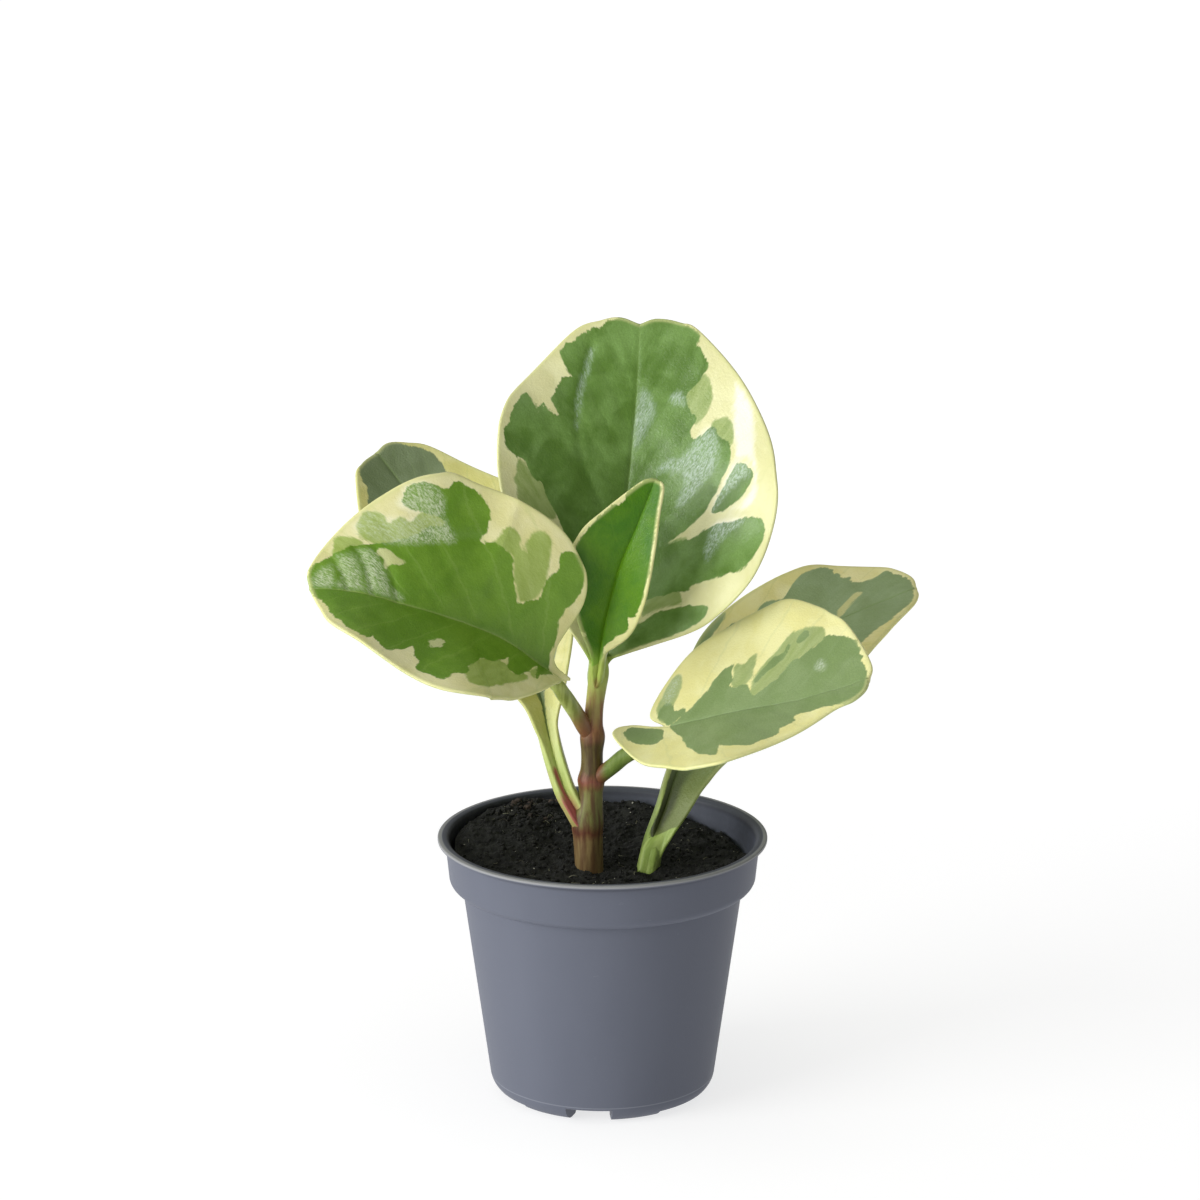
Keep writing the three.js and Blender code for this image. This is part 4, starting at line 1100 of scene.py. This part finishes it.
def stem_material():
    s = Shader("stem_skin")
    streak = s.noise(s.place((1, 1, 0.1)), 1.15, 4, 0.55)
    mottle = s.noise(s.place((1, 1, 0.6)), 0.7, 3, 0.6)
    bent = s.plus(s.attribute("height"), s.times(s.minus(mottle, 0.5), 3))
    light = s.ramp(bent, *STEM_SPAN, STEM_LIGHT)
    dark = s.ramp(bent, *STEM_SPAN, STEM_DARK)
    tone = s.mix(s.remap(streak, 0.34, 0.68), light, dark)
    normal = s.bump(streak, 0.06, s.bump(mottle, 0.15))
    return s.finish(Base_Color=tone, Roughness=0.5, Specular_IOR_Level=0.3, Normal=normal)


def floor_material():
    """A white table that glows a little, so that the shadow on it stays faint."""
    s = Shader("pale_floor")
    # Painted light: the glow grows from the pot outwards, which keeps the far floor white.
    away = s.times(s.length(s.place()), MM)
    return s.finish(
        Base_Color=(0.38, 0.38, 0.38, 1),
        Roughness=1,
        Specular_IOR_Level=0,
        Emission_Color=(1, 1, 1, 1),
        Emission_Strength=s.remap(away, 0.1, 0.6, 0.73, 0.88),
    )


# ---- Pot ----


def body_radius(z):
    return BODY_TOP_RADIUS - (COLLAR_BOTTOM - z) * BODY_SLOPE


def arc(centre, radius, start, end, steps):
    angles = np.radians(np.linspace(start, end, steps + 1))
    return [(centre[0] + radius * math.cos(a), centre[1] + radius * math.sin(a)) for a in angles]


def pot_profile():
    """Half of the pot's section as (radius, height), from the middle of the underside, outside
    first, to the middle of the floor inside."""
    lip_bottom = POT_HEIGHT - LIP_EDGE
    inner_top = COLLAR_TOP_RADIUS - POT_WALL
    inner_floor = BASE_HEIGHT + BASE_THICKNESS
    draft = math.degrees(math.atan(BODY_SLOPE))
    ring = body_radius(RING_CORNER) - RING_CORNER / math.cos(math.radians(draft))
    bend = inner_floor + FLOOR_CORNER
    floor = body_radius(bend) - POT_WALL - FLOOR_CORNER / math.cos(math.radians(draft))
    soft = LIP_SOFT
    points = [(0, BASE_HEIGHT), (5, BASE_HEIGHT), (RING_INNER - 0.5, BASE_HEIGHT)]
    points += [(RING_INNER - 0.05, 0.3), (RING_INNER + 0.25, 0)]
    points += arc((ring, RING_CORNER), RING_CORNER, -90, -draft, RING_CORNER_STEPS)
    steps = np.linspace(RING_CORNER + 1, COLLAR_BOTTOM, 16)
    points += [(body_radius(z), z) for z in steps]
    points += [(BODY_TOP_RADIUS + 0.25, COLLAR_BOTTOM - 0.02)]
    corner = COLLAR_LOW_RADIUS - COLLAR_BEND
    points += arc((corner, COLLAR_BOTTOM + COLLAR_BEND), COLLAR_BEND, -90, 0, 8)
    points += [(COLLAR_TOP_RADIUS, lip_bottom)]
    points += arc((LIP_RADIUS - soft, lip_bottom + soft), soft, -90, 0, 4)
    points += arc((LIP_RADIUS - soft, POT_HEIGHT - soft), soft, 0, 90, 4)
    lip_inside = (LIP_RADIUS - LIP_WIDTH, POT_HEIGHT - LIP_ROUNDING)
    points += arc(lip_inside, LIP_ROUNDING, 90, 180, 6)
    points += [(inner_top, POT_HEIGHT - LIP_INSIDE_DEPTH)]
    points += [(COLLAR_LOW_RADIUS - POT_WALL, COLLAR_BOTTOM + COLLAR_BEND)]
    points += [(BODY_TOP_RADIUS - POT_WALL, COLLAR_BOTTOM - POT_WALL / 2)]
    points += arc((floor, bend), FLOOR_CORNER, -draft, -90, 5)
    points += [(0, inner_floor)]
    return points


def pot_columns():
    """Directions round the pot in degrees, each with how high the ring is cut away there. A
    direction comes twice where the height changes, which makes the upright side of a foot."""
    columns = []
    turn = 360 / SLOT_COUNT
    for index in range(SLOT_COUNT):
        slot = FIRST_SLOT - SLOT_ANGLE / 2 + index * turn
        spans = [
            (slot, slot + SLOT_ANGLE, BASE_HEIGHT, 16),
            (slot + SLOT_ANGLE, slot + SLOT_ANGLE + FOOT_ANGLE, 0, 18),
            (slot + SLOT_ANGLE + FOOT_ANGLE, slot + turn - FOOT_ANGLE, FOOT_HEIGHT, 28),
            (slot + turn - FOOT_ANGLE, slot + turn, 0, 18),
        ]
        for start, end, cut, steps in spans:
            columns += [(angle, cut) for angle in np.linspace(start, end, steps + 1)]
    return columns


def drain_cutter():
    """Seven upright cylinders in one mesh, for the holes in the base."""
    parts = []
    for x, y in [(0, 0), *circle(DRAIN_RING, DRAIN_COUNT)]:
        heights = np.array([(x, y, -1), (x, y, BASE_HEIGHT + BASE_THICKNESS + 1)], float)
        parts.append(tube(heights, [DRAIN_RADIUS] * 2, 48))
    return add_object("drain_cutter", new_mesh("drain_cutter", *joined(parts)))


def make_pot():
    profile = pot_profile()
    columns = pot_columns()
    vertices = []
    for angle, cut in columns:
        way = (math.cos(math.radians(angle)), math.sin(math.radians(angle)))
        for index, (radius, z) in enumerate(profile[1:-1], 1):
            height = max(z, cut) if index < UNDERSIDE_POINTS else z
            vertices.append((radius * way[0], radius * way[1], height))
    ring = len(profile) - 2
    faces = []
    low = len(vertices)
    vertices += [(0, 0, profile[0][1]), (0, 0, profile[-1][1])]
    for column, following in neighbours(len(columns)):
        here = column * ring
        after = following * ring
        faces += [(low, after, here), (low + 1, here + ring - 1, after + ring - 1)]
        for step in range(ring - 1):
            faces.append((here + step, after + step, after + step + 1, here + step + 1))
    pot = make_piece("pot_fine", vertices, faces, pot_material(), "pot")
    weld_piece(pot)
    cut_holes(pot)


def cut_holes(pot):
    """Cuts the drain holes in the base."""
    cutter = drain_cutter()
    holes = pot.modifiers.new("holes", "BOOLEAN")
    holes.operation = "DIFFERENCE"
    holes.solver = "EXACT"
    holes.object = cutter
    bpy.context.view_layer.update()
    cut = bpy.data.meshes.new_from_object(pot.evaluated_get(bpy.context.evaluated_depsgraph_get()))
    pot.modifiers.clear()
    pot.data = cut
    pot.data.shade_smooth()
    pot.data.set_sharp_from_angle(angle=math.radians(32))
    bpy.data.objects.remove(cutter)


# ---- Soil ----


def soil_height(x, y):
    """Height of the peat, heaped against the wall at the back and left, with clods and grains."""
    plane = SOIL_LEVEL + SOIL_TILT[0] * x + SOIL_TILT[1] * y
    heap = 0
    for heap_x, heap_y, height, spread in SOIL_HEAPS:
        away = math.hypot(x - heap_x, y - heap_y) / spread
        heap += height * math.exp(-away * away / 2)
    clods = noise.fractal(Vector((x, y, 3)) * CLODS[0], 1.0, 2.0, 3) * CLODS[1]
    grains = noise.fractal(Vector((x, y, 9)) * GRAINS[0], 1.0, 2.0, 2) * GRAINS[1]
    return plane + heap + clods + grains


def make_soil():
    """A closed plug: rings from the middle of the top out to the wall, then down and in again."""
    sides = SOIL_SIDES
    shell = [
        (BODY_TOP_RADIUS - POT_WALL - 0.5, COLLAR_BOTTOM - 1),
        (body_radius(8) - POT_WALL - 0.4, 8),
        (body_radius(5) - POT_WALL - 1.2, 5),
    ]
    vertices = [(0, 0, soil_height(0, 0))]
    for ring in range(1, SOIL_RINGS + 1):
        places = circle(SOIL_RADIUS * ring / SOIL_RINGS, sides)
        vertices += [(x, y, soil_height(x, y)) for x, y in places]
    for radius, z in shell:
        vertices += [(x, y, z) for x, y in circle(radius, sides)]
    pairs = neighbours(sides)
    faces = [(0, a + 1, b + 1) for a, b in pairs]
    last = len(vertices) - sides
    for low in range(1, last, sides):
        faces += [(low + a, low + sides + a, low + sides + b, low + b) for a, b in pairs]
    faces.append(tuple(last + side for side in reversed(range(sides))))
    make_piece("soil_fine", vertices, faces, soil_material(), "soil")


def soil_spot(draw, reach=SOIL_RADIUS - BIT_WALL_GAP):
    """A random place on the soil, clear of the stem and the stalk that stand in it."""
    while True:
        angle = draw.uniform(0, 2 * math.pi)
        radius = reach * math.sqrt(draw.random())
        x = radius * math.cos(angle)
        y = radius * math.sin(angle)
        if all(math.hypot(x - a, y - b) > clear for a, b, clear in STANDING):
            return x, y, soil_height(x, y)


def lump(centre, size, draw):
    """An uneven little stone: a ball of few faces, squeezed and dented."""
    mesh = bmesh.new()
    bmesh.ops.create_icosphere(mesh, subdivisions=1, radius=1)
    squeeze = [size * draw.uniform(*LUMP_SIDES) for _ in range(3)]
    turn = Euler([draw.uniform(0, 6.28) for _ in range(3)]).to_matrix()
    places = []
    for vertex in mesh.verts:
        dent = draw.uniform(*LUMP_DENTS)
        place = Vector([a * b * dent for a, b in zip(vertex.co, squeeze)])
        places.append(np.array(turn @ place) + centre)
    faces = [tuple(vertex.index for vertex in face.verts) for face in mesh.faces]
    mesh.free()
    return np.array(places), faces


def make_bits(name, material, bits, sharp=None):
    """Many bits in one piece, each with a shade of its own."""
    parts, shades = zip(*bits)
    vertices, faces = joined(parts)
    shades = np.repeat(shades, [len(part[0]) for part in parts])
    make_piece(name, vertices, faces, material, None, {"shade": shades}, sharp)


def make_lumps(name, material, seed, count, sizes, spot=soil_spot):
    """Many lumps strewn over the soil, in one piece."""
    draw = random.Random(seed)
    bits = []
    for _ in range(count):
        x, y, z = spot(draw)
        size = draw.uniform(*sizes)
        part = lump(np.array((x, y, z + size * 0.25)), size, draw)
        bits.append((part, draw.random()))
    make_bits(name, material, bits, LUMP_SHARP)


def heap_spot(draw):
    """A random place on the heap at the back left."""
    heap_x, heap_y = SOIL_HEAPS[0][:2]
    while True:
        x = draw.gauss(heap_x, HEAP_SPREAD)
        y = draw.gauss(heap_y, HEAP_SPREAD)
        if math.hypot(x, y) < SOIL_RADIUS - HEAP_WALL_GAP:
            return x, y, soil_height(x, y)


def make_fibres():
    """Short bent hairs of root and moss that lie on the soil."""
    draw = random.Random(FIBRE_SEED)
    bits = []
    for index in range(FIBRE_COUNT):
        reach = SOIL_RADIUS - FIBRE_WALL_GAP
        x, y, z = heap_spot(draw) if index % 3 == 0 else soil_spot(draw, reach)
        turn = draw.uniform(0, 2 * math.pi)
        length = draw.uniform(*FIBRE_LENGTHS)
        rise = draw.uniform(0, 0.5)
        bow = draw.uniform(-0.5, 0.5)
        steps = np.linspace(0, 1, 7)
        places = np.stack([
            x + length * steps * math.cos(turn) - bow * np.sin(steps * 3) * math.sin(turn),
            y + length * steps * math.sin(turn) + bow * np.sin(steps * 3) * math.cos(turn),
            z + 0.12 + rise * np.sin(steps * math.pi),
        ], axis=-1)
        part = tube(places, [draw.uniform(*FIBRE_RADII)] * len(steps), 5)
        bits.append((part, draw.random()))
    material = bits_material("moss_fibres", colour(48, 42, 32), colour(128, 128, 104))
    make_bits("soil_fibres", material, bits)


def make_soil_bits():
    crumbs = bits_material("peat_crumbs", colour(12, 13, 11), colour(36, 36, 30))
    grit = bits_material("pale_grit", colour(120, 120, 106), colour(214, 212, 198))
    bark = bits_material("bark_bits", colour(38, 31, 27), colour(76, 64, 54))
    make_lumps("soil_crumbs", crumbs, seed=11, count=1200, sizes=(0.16, 0.55))
    make_lumps("soil_heap_crumbs", crumbs, seed=12, count=200, sizes=(0.25, 0.8), spot=heap_spot)
    make_lumps("soil_grit", grit, seed=13, count=75, sizes=(0.08, 0.2))
    make_lumps("soil_bark", bark, seed=14, count=26, sizes=(0.35, 0.9), spot=heap_spot)
    make_fibres()


# ---- Stem ----


def make_stem():
    dense = curve_through(STEM)
    rings = at_shares(dense, np.linspace(0, 1, STEM_RINGS))
    centres = rings[:, :3]
    sides = STEM_SIDES
    vertices, faces = tube(centres, rings[:, 3], sides)
    body = vertices[:-2].reshape(-1, sides, 3)
    for row, centre in enumerate(centres):
        for side in range(sides):
            place = body[row, side]
            swell = STEM_SWELL * noise.noise(Vector(place * (0.5, 0.5, 0.2)))
            body[row, side] = place + (place - centre) / rings[row, 3] * swell
    vertices[:-2] = body.reshape(-1, 3)
    values = {"height": vertices[:, 2]}
    make_piece("stem_fine", vertices, faces, stem_material(), "stem", values)


# ---- Leaves ----


class LeafSurface:
    """Gives the place on a leaf at u along and v across, raised by lift from the blade's middle."""

    def __init__(self, leaf):
        self.leaf = leaf
        self.line = curve_through(leaf["spine"], 60)
        self.along = length_along(self.line)
        self.length = self.along[-1]
        self.ways = unit(np.gradient(self.line, self.along, axis=0))

    def on_line(self, u, table):
        return np.stack([np.interp(u, self.along, column) for column in table.T], axis=-1)

    def place(self, u, v, lift):
        inside = np.clip(u, 0, self.length)
        share = inside / self.length
        way = unit(self.on_line(inside, self.ways))
        centre = self.on_line(inside, self.line) + way * (u - inside)[..., None]
        up = eased_rows(self.leaf["facing"], share)
        up = unit(up - way * np.sum(up * way, axis=-1, keepdims=True))
        side = np.cross(up, way)
        trough = np.radians(eased_rows(self.leaf["trough"], share))
        left = v > 0
        start = np.where(left, trough[..., 0], trough[..., 2])
        curl = np.where(left, trough[..., 1], trough[..., 3])
        bend = np.maximum(curl / CURL_SPAN, math.radians(0.001))
        end = start + bend * np.abs(v)
        out = (np.sin(end) - np.sin(start)) / bend - lift * np.sin(end)
        rise = (np.cos(start) - np.cos(end)) / bend + lift * np.cos(end)
        rise = rise + self.leaf.get("ear_lift", 0) * np.minimum(u, 0) ** 2
        phase = 2 * math.pi * u / WAVE_LENGTH + np.where(left, 0, 2)
        rise = rise + WAVE_HEIGHT * np.sin(phase) * (v / CURL_SPAN) ** 2
        across = np.where(left, out, -out)
        return centre + side * across[..., None] + up * rise[..., None]


def leaf_outlines(leaf, length):
    """The left and the right outline from the foot to the tip, evenly spaced for the rows."""
    outlines = []
    for sign, key in ((1, "left"), (-1, "right")):
        points = [(u, sign * v) for u, v in leaf.get("foot", []) + leaf[key]]
        dense = curve_through([*points, (length, 0)])
        outlines.append(at_shares(dense, np.linspace(0, 1, LEAF_ROWS + 1)))
    return outlines


def leaf_columns():
    """Shares of the way from the midrib to the margin, closer together at both."""
    steps = np.linspace(0, 1, LEAF_COLUMNS + 1)
    across = 0.5 * steps + 0.25 * (1 - np.cos(math.pi * steps))
    return np.concatenate([[0.01], across[1:-2], MARGIN_COLUMNS])


def vein_lane(leaf, u, v):
    """A number that stays the same along a side vein as it arches up from the midrib."""
    return (u - leaf.get("vein_slope", 0.6) * np.abs(v)) / (1 + 0.03 * np.abs(v))


def leaf_relief(leaf, share, u, v, rim):
    """Height of the upper face over the plain blade: a furrow down the midrib, side veins a
    little sunk with the blade swelling between them, and creases."""
    out = np.abs(v)
    hollow = np.exp(-((v / FURROW_HALF_WIDTH) ** 2))
    furrow = -leaf.get("furrow", 0.22) * hollow * (1 - 0.6 * share)
    fade = np.minimum(out / RELIEF_FROM_RIB, 1) * np.minimum(rim / RELIEF_FROM_RIM, 1)
    turn = vein_lane(leaf, u, v) / VEIN_SPACING + np.where(v > 0, VEIN_SHIFT, 0)
    swell = leaf.get("quilt", 0.16) * (np.abs(np.sin(math.pi * turn)) ** 0.8 - 0.6)
    waves = leaf_waves(leaf, u, v) * np.minimum(rim / WAVES_FROM_RIM, 1)
    relief = furrow + swell * fade + waves
    flat = np.stack([u, v], axis=-1)
    for depth, width, line in leaf.get("creases", []):
        gap = distance_to_line(flat, curve_through(line, 8))
        relief = relief - depth * np.exp(-gap / width)
    if "fill" in leaf:
        top, bottom = leaf["fill"]
        round_off = np.maximum(1 - (v / FILL_HALF_WIDTH) ** 2, 0)
        relief = relief + FILL_HEIGHT * smooth_step(top, bottom, u) * round_off
    return relief


def leaf_waves(leaf, u, v):
    """Shallow swellings all over a blade, which break up the shine on it."""
    seed = leaf["seed"]
    waves = [noise.fractal(Vector((a, b, seed)) * 0.19, 1.0, 2.0, 2) for a, b in zip(u, v)]
    return leaf.get("waves", 0.16) * np.array(waves)


def patch_depth(points, patches):
    """How deep each point lies inside the nearest of several patches."""
    depth = np.full(len(points), NO_PATCH)
    for patch in patches:
        depth = np.maximum(depth, depth_in_outline(points, closed_curve_through(patch)))
    return depth


def stem_red(vertices, reach):
    """How red a place is for being near the stem."""
    gap = np.hypot(vertices[:, 0] - STEM_AXIS[0], vertices[:, 1] - STEM_AXIS[1])
    return smooth_step(reach, STEM_TOUCH, gap)


def blade_grid(leaf, length):
    """Rows of (u, v) from the left margin to the right, both margins, and the share of the way
    from the midrib to the margin at each place. The margins are drawn in a little, so that the
    smooth edge stays inside the straight-sided one it stands for."""
    across = leaf_columns()
    root = leaf["foot"][0][0] if "foot" in leaf else 0
    ribs = np.zeros((LEAF_ROWS + 1, 2))
    ribs[:, 0] = np.linspace(root, length, LEAF_ROWS + 1)
    halves = []
    for outline in leaf_outlines(leaf, length):
        reach = outline - ribs
        size = np.linalg.norm(reach, axis=1, keepdims=True)
        reach = reach * np.maximum(1 - EDGE_INSET / np.maximum(size, 0.01), 0)
        halves.append(ribs[:, None, :] + reach[:, None, :] * across[None, :, None])
    margins = [half[:, -1] for half in halves]
    grid = np.concatenate([halves[0][:, ::-1], ribs[:, None, :], halves[1]], axis=1)
    share_out = np.tile(np.concatenate([across[::-1], [0], across]), len(grid))
    return grid, margins, share_out


def blade_values(leaf, flat, share, rim):
    """What the material reads at each place of the grid, for the upper and then the lower face."""
    u, v = flat.T
    rib = smooth_step(1, 0.3, np.abs(v) / (0.35 + 0.45 * (1 - share)))
    stalk = np.zeros(len(u))
    if "stalk_end" in leaf:
        stalk = smooth_step(leaf["stalk_end"], leaf["stalk_end"] * 0.3, u)
    red = np.zeros(len(u))
    for line, width in leaf.get("red_lines", []):
        gap = distance_to_line(flat, curve_through(line, 8))
        red = np.maximum(red, np.exp(-((gap / width) ** 3)))
    values = {
        **{kind: patch_depth(flat, leaf.get(kind, [])) for kind in PATCHES},
        "leaf_u": u,
        "leaf_v": v,
        "lane": vein_lane(leaf, u, v),
        "rib": rib * (1 - stalk) * leaf["rib"],
        "edge": smooth_step(0.9, 0.3, rim) * (1 - stalk),
        "stalk": stalk,
        "red": red,
    }
    values = {key: np.tile(column, 2) for key, column in values.items()}
    values["under"] = np.repeat([0.0, 1.0], len(flat))
    values["red"] = values["red"] * (1 - 0.6 * values["under"])
    return values


def make_leaf(leaf):
    """One leaf, with an upper and a lower face, and with its round stalk if it has one."""
    surface = LeafSurface(leaf)
    grid, margins, share_out = blade_grid(leaf, surface.length - EDGE_INSET)
    flat = grid.reshape(-1, 2)
    u, v = flat.T
    share = np.clip(u / surface.length, 0, 1)
    rim = np.minimum(distance_to_line(flat, margins[0]), distance_to_line(flat, margins[1]))
    depth = np.clip(rim / MARGIN_ROUNDING, 0, 1)
    thickness = BLADE_CENTRE + (BLADE_EDGE - BLADE_CENTRE) * share_out
    half = thickness / 2 * np.sqrt(1 - (1 - depth) ** 2)
    keel = np.maximum(1 - share / KEEL_REACH, 0) * np.maximum(1 - (v / KEEL_HALF_WIDTH) ** 2, 0)
    keel = leaf["keel"] * keel * depth
    relief = leaf_relief(leaf, share, u, v, rim) * depth
    vertices = np.vstack([surface.place(u, v, half + relief), surface.place(u, v, -half - keel)])
    faces = leaf_faces(*grid.shape[:2])
    values = blade_values(leaf, flat, share, rim)
    if "petiole" in leaf:
        vertices, faces, values = with_petiole(leaf, vertices, faces, values)
    name = leaf["name"]
    skin = leaf_material(leaf)
    piece = make_piece(name + "_fine", vertices, faces, skin, name, values)
    weld_piece(piece)


def leaf_faces(rows, columns):
    """Upper and lower faces of the grid, and the edge that closes its foot."""
    faces = []
    lower = rows * columns
    for row in range(rows - 1):
        for column in range(columns - 1):
            a = row * columns + column
            b = a + 1
            c = b + columns
            d = a + columns
            faces.append((a, b, c, d))
            faces.append((lower + a, lower + d, lower + c, lower + b))
    for column in range(columns - 1):
        faces.append((column + 1, column, lower + column, lower + column + 1))
    return faces


def weld_piece(piece):
    """Joins vertices in the same place and drops faces that have shrunk to a line."""
    mesh = bmesh.new()
    mesh.from_mesh(piece.data)
    bmesh.ops.remove_doubles(mesh, verts=mesh.verts, dist=0.003 * MM)
    bmesh.ops.dissolve_degenerate(mesh, edges=mesh.edges, dist=0.001 * MM)
    mesh.to_mesh(piece.data)
    mesh.free()


def with_petiole(leaf, vertices, faces, values):
    """Adds the round stalk that carries the blade from below."""
    rings = at_shares(curve_through(leaf["petiole"]), np.linspace(0, 1, PETIOLE_RINGS))
    places, stalk_faces = tube(rings[:, :3], rings[:, 3], PETIOLE_SIDES)
    count = len(places)
    added = {key: np.zeros(count) for key in values}
    added.update({kind: np.full(count, NO_PATCH) for kind in PATCHES})
    added["leaf_u"] = places[:, 2]
    added["leaf_v"] = places[:, 0]
    added["stalk"] = np.ones(count)
    added["red"] = stem_red(places, leaf["blush_reach"])
    values = {key: np.concatenate([column, added[key]]) for key, column in values.items()}
    return (*joined([(vertices, faces), (places, stalk_faces)]), values)


# ---- Camera, floor and light ----


def make_camera():
    data = bpy.data.cameras.new("camera")
    data.sensor_width = SENSOR
    data.lens = CAMERA_LENS
    data.clip_start = 0.01
    data.clip_end = 20
    camera = add_object("camera", data)
    back = np.array([0, -math.cos(CAMERA_PITCH), math.sin(CAMERA_PITCH)]) * CAMERA_DISTANCE
    camera.location = (np.array(CAMERA_AIM) + back) * MM + AXIS
    camera.rotation_euler = (math.pi / 2 - CAMERA_PITCH, 0, 0)
    bpy.context.scene.camera = camera


def make_floor():
    mesh = bpy.data.meshes.new("floor")
    half = FLOOR_HALF
    corners = [(-half, -half, 0), (half, -half, 0), (half, half, 0), (-half, half, 0)]
    mesh.from_pydata(corners, [], [(0, 1, 2, 3)])
    mesh.materials.append(floor_material())
    floor = add_object("floor", mesh)


def make_world():
    """White surroundings, brighter on the left than on the right."""
    world = bpy.data.worlds.new("studio")
    world.use_nodes = True
    nodes = world.node_tree.nodes
    links = world.node_tree.links
    way = nodes.new("ShaderNodeTexCoord").outputs["Generated"]
    split = nodes.new("ShaderNodeSeparateXYZ")
    links.new(way, split.inputs[0])
    spread = nodes.new("ShaderNodeMapRange")
    links.new(split.outputs["X"], spread.inputs["Value"])
    spread.inputs["From Min"].default_value = -1
    spread.inputs["From Max"].default_value = 1
    spread.inputs["To Min"].default_value = WORLD_LEFT
    spread.inputs["To Max"].default_value = WORLD_RIGHT
    links.new(spread.outputs["Result"], nodes["Background"].inputs["Strength"])
    nodes["Background"].inputs["Color"].default_value = (1, 1, 1, 1)
    bpy.context.scene.world = world


def make_lamp(name, place, size, power):
    """A square lamp that faces the middle of the plant."""
    light = bpy.data.lights.new(name, "AREA")
    light.size = size
    light.energy = power
    lamp = add_object(name, light)
    lamp.location = place
    towards = Vector(LAMP_AIM) - Vector(place)
    lamp.rotation_euler = towards.to_track_quat("-Z", "Y").to_euler()


def make_lights():
    make_world()
    for lamp in LAMPS:
        make_lamp(*lamp)
    bpy.context.scene.view_settings.view_transform = "Standard"


# ---- The scene ----

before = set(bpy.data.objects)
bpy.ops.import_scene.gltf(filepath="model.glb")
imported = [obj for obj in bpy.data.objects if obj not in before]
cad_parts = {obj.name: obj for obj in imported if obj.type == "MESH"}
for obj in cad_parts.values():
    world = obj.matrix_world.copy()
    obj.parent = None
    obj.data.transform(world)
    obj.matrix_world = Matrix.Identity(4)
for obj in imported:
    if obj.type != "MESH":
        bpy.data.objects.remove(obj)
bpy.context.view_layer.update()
pot_low, pot_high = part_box("pot")
AXIS = np.array([(pot_low.x + pot_high.x) / 2, (pot_low.y + pot_high.y) / 2, 0])

make_camera()
make_floor()
make_lights()
make_pot()
make_soil()
make_soil_bits()
make_stem()
for each in (LEAF_TOP, LEAF_YOUNG, LEAF_LEFT_FRONT, LEAF_LEFT_BACK, LEAF_RIGHT_FRONT, LEAF_RIGHT_BACK):
    make_leaf(each)
